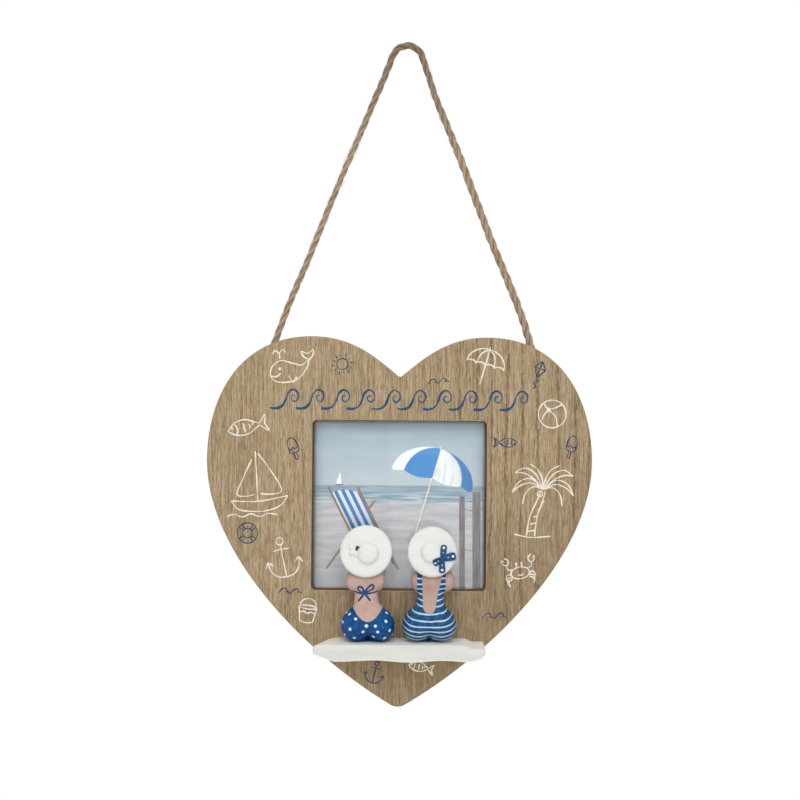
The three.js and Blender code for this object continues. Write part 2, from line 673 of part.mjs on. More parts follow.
function hatBow(figure) {
  const [x, up] = BOW_PLACE;
  let bow = solid(ellipsoid(x, BOW_HEIGHT, -up, BOW_KNOT_RADIUS, BOW_KNOT_RADIUS, BOW_KNOT_RADIUS));
  for (const [degrees, length, width] of BOW_LOOPS) {
    const angle = THREE.MathUtils.degToRad(degrees);
    const middleX = x + (length / 2) * Math.cos(angle);
    const middleUp = up + (length / 2) * Math.sin(angle);
    const loop = new THREE.Shape();
    loop.absellipse(0, 0, length / 2, width / 2, 0, 2 * Math.PI, false, angle);
    bow = bow.add(solid(onHatFace(loop, [middleX, middleUp], BOW_HEIGHT)));
  }
  return bow.subtract(ornamentBed(figure));
}

function dressedHat(name, figure, ornamentName, ornament, ornamentPaint) {
  const frame = hatFrame(figure);
  const hat = new THREE.Group();
  hat.position.copy(frame.origin);
  hat.rotation.x = frame.turn;
  hat.add(piece(name, hatBody(figure), paint(0xe8e8e4, 0.55)));
  hat.add(piece(ornamentName, geometryOf(ornament(figure)), ornamentPaint));
  return hat;
}

// The heart with all that is on it hangs with its centre line beside the hang point

const skin = 0xc4a99f;
const navy = 0x2c5d92;
const buttonPlaces = turnButtonPlaces();
const heart = new THREE.Group();
heart.position.x = -HANG_ASIDE;
heart.add(heartBoard(buttonPlaces), ...rebateSheets(), driftwoodLedge());
for (const place of buttonPlaces) heart.add(turnButton(place), buttonScrew(place));
heart.add(piece('left_figure', geometryOf(figureBody(LEFT_FIGURE)), paint(skin, 0.6)));
heart.add(piece('right_figure', geometryOf(figureBody(RIGHT_FIGURE)), paint(navy, 0.6)));
heart.add(dressedHat('left_hat', LEFT_FIGURE, 'left_hat_flower', hatFlower, paint(0xf0f0ee, 0.6)));
heart.add(dressedHat('right_hat', RIGHT_FIGURE, 'right_hat_bow', hatBow, paint(navy, 0.5)));

const frame = new THREE.Group();
frame.add(heart, hangingCord());

export default frame;
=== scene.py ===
"""A heart-shaped wooden picture frame on a jute cord: its looks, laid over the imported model."""
import math
import random

import bmesh
import bpy
import numpy as np
from mathutils import Matrix, Vector
from mathutils.bvhtree import BVHTree


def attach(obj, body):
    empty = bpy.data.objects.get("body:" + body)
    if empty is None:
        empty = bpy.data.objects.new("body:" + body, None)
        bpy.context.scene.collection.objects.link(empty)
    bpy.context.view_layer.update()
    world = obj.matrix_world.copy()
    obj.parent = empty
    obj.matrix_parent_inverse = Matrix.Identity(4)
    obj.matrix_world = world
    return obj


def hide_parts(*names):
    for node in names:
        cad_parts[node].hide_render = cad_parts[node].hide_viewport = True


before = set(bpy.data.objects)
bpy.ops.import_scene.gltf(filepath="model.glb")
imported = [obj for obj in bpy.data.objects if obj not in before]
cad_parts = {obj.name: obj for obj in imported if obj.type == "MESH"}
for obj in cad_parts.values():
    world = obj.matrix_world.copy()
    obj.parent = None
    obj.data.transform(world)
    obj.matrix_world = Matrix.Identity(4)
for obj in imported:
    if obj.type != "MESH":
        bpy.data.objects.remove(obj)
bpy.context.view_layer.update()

# All sizes are in millimetres, in the model's frame, until a mesh is made
MM = 0.001
LEAST_RADIUS = 0.05  # of a ring where a round form closes

# Photograph
PHOTO_PIXELS = 800
MM_PER_PIXEL = 0.5186  # on the board's front
VIEW_DISTANCE = 700  # camera to the board's front
VIEW_CENTRE = (-2.4, -183.4)  # x and z in the middle of the picture
VIEW_ROLL = 0.0083  # radians that the object leans to the right
SENSOR = 36

# Board: x is measured from the heart's centre line, but the cord's and the camera's from the hang point
HANG_ASIDE = 2.4  # the hang point lies this far to the right of the heart's centre line
BOARD_FRONT = -6
BOARD_BACK = 6
HEART_TOP = -150.6
HEART_WIDTH = 200
HEART_HEIGHT = 193.3
SIDE_DROP = 64.6
CLEFT_DROP = 21.2
LOBE_OFFSET = 45.7
TIP_RUN, TIP_RISE, TIP_RADIUS = 49, 29, 7.5
SIDE_PULL_BELOW, SIDE_PULL_ABOVE = 47.7, 34.3
LOBE_PULL_OUT, LOBE_PULL_IN = 36.8, 21.6
CLEFT_RUN, CLEFT_RISE, CLEFT_ROUND = 12, 10, 1.8
EDGE_EASE = 1.1
WINDOW_WIDTH, WINDOW_HEIGHT, WINDOW_CORNER = 90, 87.6, 2.5
WINDOW_LEVEL = -238.2
REBATE_LIP, REBATE_CORNER, REBATE_FLOOR = 4.5, 3, 0.3

# Cord: x and z of its middle, from the left socket over the hang point to the right socket
CORD_DIAMETER = 4
CORD_ROUTE = [
    (-72.9, -166.6), (-68.4, -154.4), (-65.9, -147.6), (-60.0, -131.8), (-51.2, -110.8), (-43.0, -89.8),
    (-34.6, -68.9), (-25.8, -47.9), (-17.1, -26.9), (-13.7, -19.0), (-9.9, -9.4), (-7.5, -3.1), (-6.3, -1.1),
    (-4.5, 0.6), (-2.3, 1.6), (0, 2), (2.3, 1.6), (4.5, 0.6), (6.3, -1.1), (7.5, -3.1), (9.6, -9.4),
    (12.8, -18.8), (15.5, -26.6), (19.8, -37.0), (28.5, -57.9), (36.5, -78.7), (44.6, -99.6), (53.3, -120.4),
    (61.6, -141.3), (65.8, -155.2), (69.5, -167.6),
]
SOCKET_PLAY, SOCKET_SIDES = 0.4, 24
SOCKET_REACH = 8  # of the cutter beyond the cord's second point
CORD_STEP = 0.75
CORD_GIRTH = [  # length along the cord, and the girth there as a share of the full one
    (0, 0.9), (70, 0.85), (118, 0.79), (156, 0.88), (185, 0.96), (212, 0.85), (245, 1.03), (371, 1.06),
]
PLIES, PLY_RADIUS, PLY_SIDES = 3, 1.12, 12
PLY_PITCH = 20  # length of cord in which a ply goes round once
PLY_WAVES, PLY_SWELL = 5, 0.022  # slow waves in a ply's girth, and the share by which each swells it
PLY_SHIFT = 150  # from the grain of one ply to that of the next
HAIRS, HAIR_RADIUS, HAIR_ROOT = 190, 0.045, 0.6  # loose fibres, which start this deep in the cord
HAIR_STEPS, HAIR_TURN = 4, 0.12  # radians that a fibre winds round the cord at each step

# Paint on the board's front
PAINT_RISE = 0.06
PAINT_SINK = 0.05
PAINT_STEP = 0.5
WHITE_LINE, BLUE_LINE = 1.4, 1.35
SCROLL_COUNT, SCROLL_PITCH, SCROLL_HEIGHT, SCROLL_LINE = 10, 13.2, 12, 2.9
SCROLL_LEVEL = -188.2

# Picture: its middle is the window's middle
HORIZON = 10
SHORE = 1

# Ledge
LEDGE_TOP, LEDGE_PLACE = -306.8, 0.25
LEDGE_LENGTH, LEDGE_DEPTH, LEDGE_THICKNESS, LEDGE_ROUND = 87.5, 22, 8.4, 1.8
LEDGE_WAVE, LEDGE_WAVE_LENGTH, LEDGE_WAVE_START = 0.6, 35.6, -4
LEDGE_LEFT_SLANT, LEDGE_LEFT_RUN, LEDGE_LEFT_FALL = 7.2, 7, 1
LEDGE_RIGHT_RUN, LEDGE_RIGHT_STEP, LEDGE_RIGHT_FALL = 11, 5.5, 1.5
LEDGE_LEFT_CUT, LEDGE_LEFT_RISE = 11, 3.2
LEDGE_RIGHT_ROUND, LEDGE_RIGHT_RISE = 12, 5
LEDGE_GROOVE, LEDGE_STEPS = 0.12, 180

# Figures: heights are above the ledge; a body sways by so much at the waist and leans at the shoulders
LEFT_FIGURE = {
    "place": -15.5, "hip_level": 7.9, "waist": 6.1, "sway": -0.9, "shoulders": 20.4, "lean": -1.45,
    "hat_place": -16.6, "hat_width": 26.4, "hat_height": 26.4, "crown": (1, -0.9),
}
RIGHT_FIGURE = {
    "place": 15.9, "hip_level": 8.3, "waist": 6.7, "sway": 0.6, "shoulders": 22.6, "lean": 1.6,
    "hat_place": 17, "hat_width": 24.8, "hat_height": 25.6, "crown": (-0.4, -0.2),
}
SEAT_GAP = 0.05  # between the board and what is glued to it
BODY_MIDDLE = -15.5
BODY_BLEND = 2.6
BODY_CORE = 0.5
HIP_WIDTH = 27.6
HEAD_RADIUS = 6.6
HEAD_SETBACK = 6.2
SUIT_FOOT, SUIT_SPREAD, SUIT_RISE = 11.0, 7.6, 6.4  # lowest point of the left suit's edge, and its curve
DOT_RADIUS, DOT_RISE, DOT_SPACING, DOT_TRIES = 0.92, 0.16, 4.5, 900
SUIT_DOTS = [  # from the figure's middle to the right, and above the ledge, as seen from the front
    (-9.3, 14.4), (-6, 12.5), (-0.5, 9.2), (4, 9.2), (9.4, 11.4), (9.6, 15), (-8.8, 7.5), (-2.2, 6),
    (5.2, 6.2), (11.3, 6.7), (-11.6, 4), (-6.6, 2.8), (3, 3.3), (8.7, 2.7), (-12.6, 10.3),
]
STRING_WIDTH, STRING_RISE, STRING_SINK, STRING_STEP = 1.45, 0.18, 0.06, 0.3
CAST_FRONT, CAST_ROUND = -60, 30  # rays that find a body's surface start at this y, or this far round it
STRIPE_PITCH, STRIPE_WIDTH, STRIPE_DIP, STRIPE_CURVE = 2.8, 0.77, 0.26, 0.008
BACK_FOOT, BACK_LEFT, BACK_RIGHT, STRAP_OUTSIDE, ARMHOLE = 15.6, 3.2, 3, 7.3, 24.5

# Hats: the crown looks at the viewer and a little up
HAT_FRONT, HAT_LEVEL, HAT_TILT = -22.6, 46.6, math.radians(6)
CROWN_RADIUS, CROWN_HEIGHT, CROWN_FOOT, CROWN_FOOT_RISE = 5.4, 3, 1.7, 0.4
CROWN_FLATNESS = 0.7  # 1 is an ellipse, less is flatter
BRIM_THICKNESS, BRIM_FALL, BRIM_WAVE = 1.6, 1.2, 0.22
HAT_SIDES, FLOWER_SIDES, BOW_SIDES = 120, 80, 28
HEAD_PLAY = 0.3  # between the head and the hollow of the hat
FLOWER_PLACE, FLOWER_RADIUS, FLOWER_NOTCH = (-5.5, 0.6), 3.7, 1.6
PETAL_HEIGHT, EYE_LEVEL, EYE_HEIGHT = 2, 1.6, 1.1
FLOWER_EYE = [(1.2, 1.3, 0.95), (0.9, 0.5, 0.75)]  # spots of dark paint: across, up and radius
FLOWER_LEVELS = [  # rings from the hat up: share of the outline and of the height, or depth below 0
    (1, -1.2), (1, 0), (0.97, 0.45), (0.88, 0.75), (0.72, 0.95), (0.52, 0.95), (0.3, 0.8), (0.1, 0.7),
]
BOW_PLACE, BOW_HEIGHT = (5, -3.3), 1.6
KNOT_RADIUS, KNOT_HEIGHT, KNOT_SINK, KNOT_SIDES = 1.5, 1.2, 0.8, 20
BOW_DOTS = (0.44, 0.78)  # places of a loop's dots, as shares of its length; the outer dot is the larger one
BOW_DOT_RADIUS, BOW_DOT_RISE = 0.85, 0.14
BOW_LEVELS = [(1, -1.6), (1, 0), (0.96, 0.35), (0.85, 0.62), (0.66, 0.8), (0.4, 0.9), (0.05, 0.94)]
BOW_LOOPS = [(12, 7.1, 4.4), (211, 5.3, 3.9), (82, 7, 3.5), (270, 7.4, 3.4)]  # degrees, length, width

# Turn buttons and screws on the back
BUTTON_EYE, BUTTON_TIP, BUTTON_LENGTH, BUTTON_HOLE = 4.6, 3, 11, 1.6
BUTTON_UNDER, BUTTON_TOP, BUTTON_EASE = 6.3, 7.3, 0.25
BUTTON_ASIDE, BUTTON_ABOVE = 56.5, 55.3
SCREW_RADIUS, SCREW_END, SCREW_POINT = 1.3, -1, 2
SCREW_HEAD_RADIUS, SCREW_HEAD_HEIGHT, SCREW_HEAD_UNDER = 3, 1.9, 7.6
SCREW_HEAD_RIM, SCREW_HEAD_BEVEL = 0.2, 0.15
RECESS = [(-1.1, 0.7, 0.2), (-0.4, 1.6, 0.36), (1, 1.9, 0.4)]  # level from the top, half length, half width
METAL_SIDES = 32  # of a screw and of the hole for it

# Light and floor
WORLD_LIGHT = 0.58
FLOOR_LEVEL, FLOOR_RADIUS, FLOOR_SIDES = -680, 600, 96
FLOOR_FADE = 150  # distance from the middle at which the floor starts to fade
LAMP_AIM = (0, 0, -240)
LAMPS = {  # place, side length, power in watts
    "key": ((-300, -1300, 200), 1000, 3), "fill": ((450, -1300, -100), 1000, 2),
    "top": ((0, -950, 620), 800, 5.4), "back": ((200, 1200, 300), 900, 7),
}
MIRRORED_LAMP = "back"  # the only one that shows in gloss and glass


# Camera

def make_camera():
    data = bpy.data.cameras.new("camera")
    data.sensor_width = SENSOR
    data.lens = SENSOR * VIEW_DISTANCE / (PHOTO_PIXELS * MM_PER_PIXEL)
    camera = bpy.data.objects.new("camera", data)
    camera.location = Vector((VIEW_CENTRE[0], BOARD_FRONT - VIEW_DISTANCE, VIEW_CENTRE[1])) * MM
    camera.rotation_euler = (math.pi / 2, -VIEW_ROLL, 0)
    bpy.context.scene.collection.objects.link(camera)
    bpy.context.scene.camera = camera


# Curves and meshes

def smooth_path(points, step):
    """Points about a step apart on a smooth curve through the given points (centripetal Catmull-Rom)."""
    points = [np.array(p, float) for p in points]
    points = [2 * points[0] - points[1], *points, 2 * points[-1] - points[-2]]
    path = []
    for p0, p1, p2, p3 in zip(points, points[1:], points[2:], points[3:]):
        gaps = [max(np.linalg.norm(b - a), 1e-6) ** 0.5 for a, b in ((p0, p1), (p1, p2), (p2, p3))]
        before = (p1 - p0) / gaps[0] - (p2 - p0) / (gaps[0] + gaps[1]) + (p2 - p1) / gaps[1]
        after = (p2 - p1) / gaps[1] - (p3 - p1) / (gaps[1] + gaps[2]) + (p3 - p2) / gaps[2]
        count = max(2, round(np.linalg.norm(p2 - p1) / step))
        for i in range(count):
            t = i / count
            path.append(
                (2 * t**3 - 3 * t**2 + 1) * p1 + (t**3 - 2 * t**2 + t) * gaps[1] * before
                + (3 * t**2 - 2 * t**3) * p2 + (t**3 - t**2) * gaps[1] * after
            )
    return np.array(path + [points[-2]])


def runs(path):
    """Direction of a path at each of its points, and its length up to there."""
    ahead = np.gradient(path, axis=0)
    ahead /= np.linalg.norm(ahead, axis=1)[:, None]
    return ahead, np.concatenate([[0], np.cumsum(np.linalg.norm(np.diff(path, axis=0), axis=1))])


def circle(count):
    """Even angles of one full turn."""
    return [2 * math.pi * j / count for j in range(count)]


def quarter(share):
    """Height of a quarter circle of radius 1 at a share of its run."""
    return math.sqrt(share * (2 - share))


class Shape:
    """Points and faces that are gathered for one mesh."""

    def __init__(self, rings=None):
        self.points = []
        self.faces = []
        if rings is not None:
            self.add(rings)

    def add(self, rings, caps=True):
        """A tube through rings of points, with or without caps on its ends."""
        start, count = len(self.points), len(rings[0])
        end = start + count * (len(rings) - 1)
        for row in range(start, end, count):
            for j in range(count):
                k = (j + 1) % count
                self.faces.append((row + j, row + k, row + k + count, row + j + count))
        for ring in rings:
            self.points += [tuple(p) for p in ring]
        if caps:
            self.faces.append(tuple(range(start + count - 1, start - 1, -1)))
            self.faces.append(tuple(range(end, end + count)))

    def mesh(self, name, smooth_angle=50):
        mesh = bpy.data.meshes.new(name)
        mesh.from_pydata((np.array(self.points, float) * MM).tolist(), [], self.faces)
        finish_mesh(mesh, smooth_angle)
        return mesh


def finish_mesh(mesh, smooth_angle):
    """Turns all faces outward and shades the mesh smooth, but for edges sharper than the angle."""
    work = bmesh.new()
    work.from_mesh(mesh)
    bmesh.ops.recalc_face_normals(work, faces=work.faces)
    work.to_mesh(mesh)
    work.free()
    mesh.polygons.foreach_set("use_smooth", [True] * len(mesh.polygons))
    mesh.set_sharp_from_angle(angle=math.radians(smooth_angle))


def place(name, form, material, slot, replaced=None, body="frame", middle=-HANG_ASIDE, smooth_angle=50):
    """A piece of a shape or mesh, which rides on a body and may replace a CAD node; x counts from middle."""
    mesh = form.mesh(name, smooth_angle) if isinstance(form, Shape) else form
    mesh.transform(Matrix.Translation((middle * MM, 0, 0)))
    piece = bpy.data.objects.new(name, mesh)
    bpy.context.scene.collection.objects.link(piece)
    piece.data.materials.append(material)
    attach(piece, body)
    if replaced:
        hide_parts(replaced)
    return piece


# Formulas in materials

class Field:
    """A socket in a material's nodes, so that formulas can be written with + - * and /."""

    def __init__(self, tree, socket):
        self.tree = tree
        self.socket = socket

    def math(self, operation, *others):
        node = self.tree.nodes.new("ShaderNodeMath")
        node.operation = operation
        for socket, value in zip(node.inputs, (self, *others)):
            put(value, socket)
        return Field(self.tree, node.outputs[0])

    def __add__(self, other):
        return self.math("ADD", other)

    def __sub__(self, other):
        return self.math("SUBTRACT", other)

    def __mul__(self, other):
        return self.math("MULTIPLY", other)

    def __rsub__(self, other):
        return self * -1 + other

    def __truediv__(self, other):
        return self.math("DIVIDE", other)

    __radd__ = __add__
    __rmul__ = __mul__

    def abs(self):
        return self.math("ABSOLUTE")

    def sin(self):
        return self.math("SINE")

    def least(self, other):
        return self.math("MINIMUM", other)

    def most(self, other):
        return self.math("MAXIMUM", other)

    def rise(self, low, high):
        """0 below low, 1 above high, smooth between; falls instead where low is above high."""
        node = self.tree.nodes.new("ShaderNodeMapRange")
        node.interpolation_type = "SMOOTHSTEP"
        put(self, node.inputs["Value"])
        node.inputs["From Min"].default_value = min(low, high)
        node.inputs["From Max"].default_value = max(low, high)
        node.inputs["To Min"].default_value = 0 if low < high else 1
        node.inputs["To Max"].default_value = 1 if low < high else 0
        return Field(self.tree, node.outputs["Result"])


def put(value, socket):
    """Links a field to a socket, or sets a plain value on it."""
    if isinstance(value, Field):
        value.tree.links.new(value.socket, socket)
    else:
        socket.default_value = value


def tree_of(*values):
    """The nodes that the first field among some values belongs to."""
    return next(value.tree for value in values if isinstance(value, Field))


def rgb(*values):
    """A colour from its values on a screen, 0 to 255: red, green and blue."""
    shares = [value / 255 for value in values]
    return (*[s / 12.92 if s <= 0.04 else ((s + 0.055) / 1.055) ** 2.4 for s in shares], 1)


def split(tree, kind, output):
    """x, y and z of what a kind of node gives."""
    node = tree.nodes.new("ShaderNodeSeparateXYZ")
    tree.links.new(tree.nodes.new(kind).outputs[output], node.inputs[0])
    return [Field(tree, socket) for socket in node.outputs]


def facing(tree):
    """x, y and z of the surface's direction."""
    return split(tree, "ShaderNodeNewGeometry", "Normal")


def new_material(name, gloss=0.18):
    """A material, its shader, and x from the heart's centre line, y and z on the surface, in millimetres."""
    material = bpy.data.materials.new(name)
    material.use_nodes = True
    shader = material.node_tree.nodes["Principled BSDF"]
    shader.inputs["Specular IOR Level"].default_value = gloss
    x, y, z = [field * (1 / MM) for field in split(material.node_tree, "ShaderNodeTexCoord", "Object")]
    return material, shader, (x + HANG_ASIDE, y, z)


def inside(low, field, high, soft=0.12):
    """1 where a field lies between two values, which may be fields."""
    return (field - low).rise(-soft, soft) * (high - field).rise(-soft, soft)


def attribute(tree, name):
    """A number that a piece's points carry."""
    node = tree.nodes.new("ShaderNodeAttribute")
    node.attribute_name = name
    return Field(tree, node.outputs["Fac"])


def noise(x, y, z, detail=2, roughness=0.5, distortion=0):
    """Soft noise from 0 to 1 with patches about 1 across in the given coordinates."""
    tree = tree_of(x, y, z)
    spot = tree.nodes.new("ShaderNodeCombineXYZ")
    for value, socket in zip((x, y, z), spot.inputs):
        put(value, socket)
    node = tree.nodes.new("ShaderNodeTexNoise")
    tree.links.new(spot.outputs[0], node.inputs["Vector"])
    settings = {"Scale": 1, "Detail": detail, "Roughness": roughness, "Distortion": distortion}
    for name, value in settings.items():
        node.inputs[name].default_value = value
    return Field(tree, node.outputs["Fac"])


def mix(share, first, second):
    """The first colour at share 0, the second at share 1."""
    tree = tree_of(share, first, second)
    node = tree.nodes.new("ShaderNodeMix")
    node.data_type = "RGBA"
    put(share, node.inputs["Factor"])
    put(first, node.inputs[6])  # A as a colour
    put(second, node.inputs[7])  # B as a colour
    return Field(tree, node.outputs[2])


def layers(colour, *coats):
    """A colour with others over it, each given after the share to which it covers those below."""
    for share, coat in coats:
        colour = mix(share, colour, coat)
    return colour


def finish_surface(shader, colour, roughness, height, depth):
    """Sets a surface's colour and roughness, and raises it by height times depth, in millimetres."""
    put(colour, shader.inputs["Base Color"])
    put(roughness, shader.inputs["Roughness"])
    node = height.tree.nodes.new("ShaderNodeBump")
    node.inputs["Distance"].default_value = depth * MM
    put(height, node.inputs["Height"])
    height.tree.links.new(node.outputs["Normal"], shader.inputs["Normal"])


def ray_is(tree, kind):
    """1 for a kind of light ray, such as Camera or Shadow."""
    return Field(tree, tree.nodes.new("ShaderNodeLightPath").outputs[f"Is {kind} Ray"])


def make_clear(shader, share):
    """Lets light straight through a surface where share is 1."""
    tree = share.tree
    clear = tree.nodes.new("ShaderNodeBsdfTransparent")
    either = tree.nodes.new("ShaderNodeMixShader")
    put(share, either.inputs["Fac"])
    tree.links.new(shader.outputs["BSDF"], either.inputs[1])
    tree.links.new(clear.outputs["BSDF"], either.inputs[2])
    tree.links.new(either.outputs["Shader"], tree.nodes["Material Output"].inputs["Surface"])


make_camera()


# Cord: three plies of jute twisted to the right, with loose fibres

def jute_material():
    material, shader, (_, _, level) = new_material("jute")
    along = attribute(material.node_tree, "along")
    around = attribute(material.node_tree, "around")  # 0 and 1 inside the twist, 0.5 on the outside
    fibre = noise(along * 0.22, around * 26, 0, detail=4, roughness=0.65)
    strand = noise(along * 0.09, around * 3, 7)
    patch = noise(along * 0.06, around * 2, 3)
    # painted shade: the cord darkens in the crevices where the plies meet
    crevice_shade = (around - 0.5).abs().rise(0.13, 0.3) * strand.rise(0.25, 0.6)
    colour = layers(
        rgb(116, 91, 68),
        (fibre.rise(0.3, 0.68), rgb(210, 188, 159)),
        (strand.rise(0.42, 0.7) * 0.55, rgb(174, 155, 130)),
        (patch.rise(0.5, 0.7) * 0.6, rgb(160, 112, 80)),
        (crevice_shade * 0.6, rgb(96, 74, 54)),
        (level.rise(-60, 4) * 0.5, rgb(92, 76, 60)))
    finish_surface(shader, colour, 0.9, fibre, 0.35)
    shader.inputs["Sheen Weight"].default_value = 0.25
    shader.inputs["Sheen Roughness"].default_value = 0.5
    return material


def cord_frames():
    """Middle points of the cord, the direction to one side of each, and the length up to it."""
    path = smooth_path(CORD_ROUTE, CORD_STEP)
    ahead, length = runs(path)
    flat = np.zeros(len(path))
    middle = np.stack([path[:, 0], flat, path[:, 1]], axis=1)
    aside = np.stack([-ahead[:, 1], flat, ahead[:, 0]], axis=1)
    return middle, aside, length


def ring_about(middle, aside, radius, turns):
    """Points round a middle, at the given angles from aside towards the viewer."""
    viewer = np.array([0, -1, 0])
    return [middle + radius * (math.cos(a) * aside + math.sin(a) * viewer) for a in turns]


def add_plies(shape, rolls, middle, aside, length):
    """The twisted plies. Gives each point's place along the cord and round its ply."""
    marks = []
    offset = CORD_DIAMETER / 2 - PLY_RADIUS
    for ply in range(PLIES):
        waves = [(rolls.uniform(5, 40), rolls.uniform(0, 6)) for _ in range(PLY_WAVES)]
        rings = []
        for point, side, run in zip(middle, aside, length):
            turn = 2 * math.pi * (run / PLY_PITCH + ply / PLIES)
            swell = sum(math.sin(2 * math.pi * run / wave + start) for wave, start in waves)
            girth = np.interp(run, *zip(*CORD_GIRTH))
            centre = ring_about(point, side, girth * offset, [turn])[0]
            angles = [turn + math.pi + a for a in circle(PLY_SIDES)]
            rings.append(ring_about(centre, side, girth * PLY_RADIUS * (1 + PLY_SWELL * swell), angles))
            marks += [(run + PLY_SHIFT * ply, j / PLY_SIDES) for j in range(PLY_SIDES)]
        shape.add(rings)
    return marks


def add_hairs(shape, rolls, middle, aside, length):
    """Loose fibres that lift off the cord. Gives the same of each of their points."""
    marks = []
    for _ in range(HAIRS):
        start = rolls.randrange(20, len(middle) - 30)
        lean = rolls.choice((-1, 1)) * rolls.randint(2, 6)
        turn = rolls.uniform(0, 2 * math.pi)
        lift = rolls.uniform(0.3, 1.5)
        rings = []
        for step in range(HAIR_STEPS + 1):
            at = min(max(start + lean * step, 0), len(middle) - 1)
            out = CORD_DIAMETER / 2 - HAIR_ROOT + lift * (step / HAIR_STEPS) ** 1.5
            root = ring_about(middle[at], aside[at], out, [turn + HAIR_TURN * step])[0]
            rings.append(ring_about(root, aside[at], HAIR_RADIUS, [0, 2.1, 4.2]))
            marks += [(length[at], 0.5)] * 3
        shape.add(rings, caps=False)
    return marks


def make_cord():
    rolls = random.Random(4)
    middle, aside, length = cord_frames()
    shape = Shape()
    marks = add_plies(shape, rolls, middle, aside, length) + add_hairs(shape, rolls, middle, aside, length)
    mesh = shape.mesh("jute_cord")
    for name, values in zip(("along", "around"), zip(*marks)):
        mesh.attributes.new(name, "FLOAT", "POINT").data.foreach_set("value", values)
    cord = place("jute_cord", mesh, jute_material(), "jute", "hanging_cord", middle=0)


make_cord()


# Oak

def oak_fields(x, y, z):
    """Colour of the veneer, with painted shade towards the bottom and the lower right, its pores and its
    height.
    """
    across = x + noise(x * 0.012, y * 0.012, z * 0.011, detail=1) * 6
    bands = noise(across * 0.085, y * 0.085, z * 0.004, detail=3, roughness=0.6)
    tint = noise(across * 0.3 + 40, y * 0.3, z * 0.03)
    streaks = noise(across * 1.7, y * 1.7, z * 0.02, detail=3, roughness=0.6)
    broad = noise(across * 0.45 + 20, y * 0.45, z * 0.012, detail=1)
    fine = noise(across * 2.5, y * 2.5, z * 0.1)
    dashes = noise(across * 2.4, y * 2.4, z * 0.3, roughness=0.6)
    fleck = noise(x * 1.8, y * 1.8, z * 1.2, detail=1)
    nicks = noise(across * 1.9 + 60, y * 1.9, z * 0.16, detail=1)
    rings = (across * 0.72 + bands * 7).sin()
    where = noise(x * 0.03 + 5, y * 0.03, z * 0.012, detail=1) + x * 0.0022
    late = rings.rise(0.72, 1) * where.rise(0.48, 0.66)
    pores = dashes.rise(0.5, 0.66) * (late * 0.65 + 0.35)
    colour = layers(
        rgb(157, 139, 107),
        (bands.rise(0.3, 0.7), rgb(179, 162, 130)),
        (tint.rise(0.42, 0.66) * 0.6, rgb(190, 157, 130)),
        (tint.rise(0.48, 0.28) * 0.5, rgb(169, 152, 105)),
        (broad.rise(0.4, 0.64) * 0.35, rgb(146, 122, 92)),
        (streaks.rise(0.45, 0.62) * 0.6, rgb(203, 183, 150)),
        (fine.rise(0.48, 0.6) * 0.44, rgb(130, 108, 79)),
        (fleck.rise(0.45, 0.7) * 0.3, rgb(132, 108, 80)),
        (nicks.rise(0.44, 0.3) * 0.35, rgb(208, 188, 156)),
        (nicks.rise(0.56, 0.7) * 0.48, rgb(112, 84, 56)),
        (late * 0.4, rgb(122, 97, 68)),
        (pores * 0.7, rgb(104, 80, 56)),
        # painted shade: the veneer darkens towards the bottom and the lower right
        ((x * 0.5 - z).rise(235, 330) * 0.32, rgb(112, 94, 70)))
    return colour, pores, fine * 0.4 - pores


def oak_material():
    """Veneer in front, the fibre core on the edges with a painted highlight on the rounded edge round the
    window and painted shade on the window's walls, and a plain back.
    """
    material, shader, (x, y, z) = new_material("oak_veneer")
    veneer, pores, height = oak_fields(x, y, z)
    fibres = noise(x * 0.9, y * 0.9, z * 0.9, detail=5, roughness=0.7)
    past_edge = (x.abs() - WINDOW_WIDTH / 2).most((z - WINDOW_LEVEL).abs() - WINDOW_HEIGHT / 2)
    window_edge_highlight = past_edge.rise(2, 1.4)
    # painted highlight on the rounded edge round the window, and painted shade on the window's walls
    core = layers(
        rgb(150, 126, 106),
        (fibres.rise(0.3, 0.7), rgb(184, 160, 138)),
        (window_edge_highlight, rgb(192, 180, 158)),
        (past_edge.rise(0.5, 0.3), rgb(108, 83, 54)))
    plain = mix(fibres.rise(0.35, 0.7), rgb(132, 106, 78), rgb(164, 136, 104))
    back = y.rise(2, 5)
    # near the window the painted highlight spreads onto the rounded edge
    flat = (facing(material.node_tree)[1].abs() - window_edge_highlight * 0.12).rise(0.6, 0.86)
    colour = mix(flat, core, mix(back, veneer, plain))
    finish_surface(shader, colour, pores * -0.12 + 0.68, height * flat * (1 - back) + fibres * 0.3, 0.22)
    return material


# Board

def bezier(a, b, c, d, steps):
    """Points of a curve, without its last one."""
    a, b, c, d = (np.array(p, float) for p in (a, b, c, d))
    shares = [i / steps for i in range(steps)]
    return [(1 - t)**3 * a + 3 * t * (1 - t)**2 * b + 3 * t**2 * (1 - t) * c + t**3 * d for t in shares]


def round_corner(level, opening, radius, steps=8):
    """Points from left to right on the arc that rounds a corner on the centre line."""
    middle = level + radius / math.sin(opening)
    turns = [opening - math.pi + (math.pi - 2 * opening) * i / steps for i in range(steps + 1)]
    return [np.array([radius * math.cos(a), middle + radius * math.sin(a)]) for a in turns]


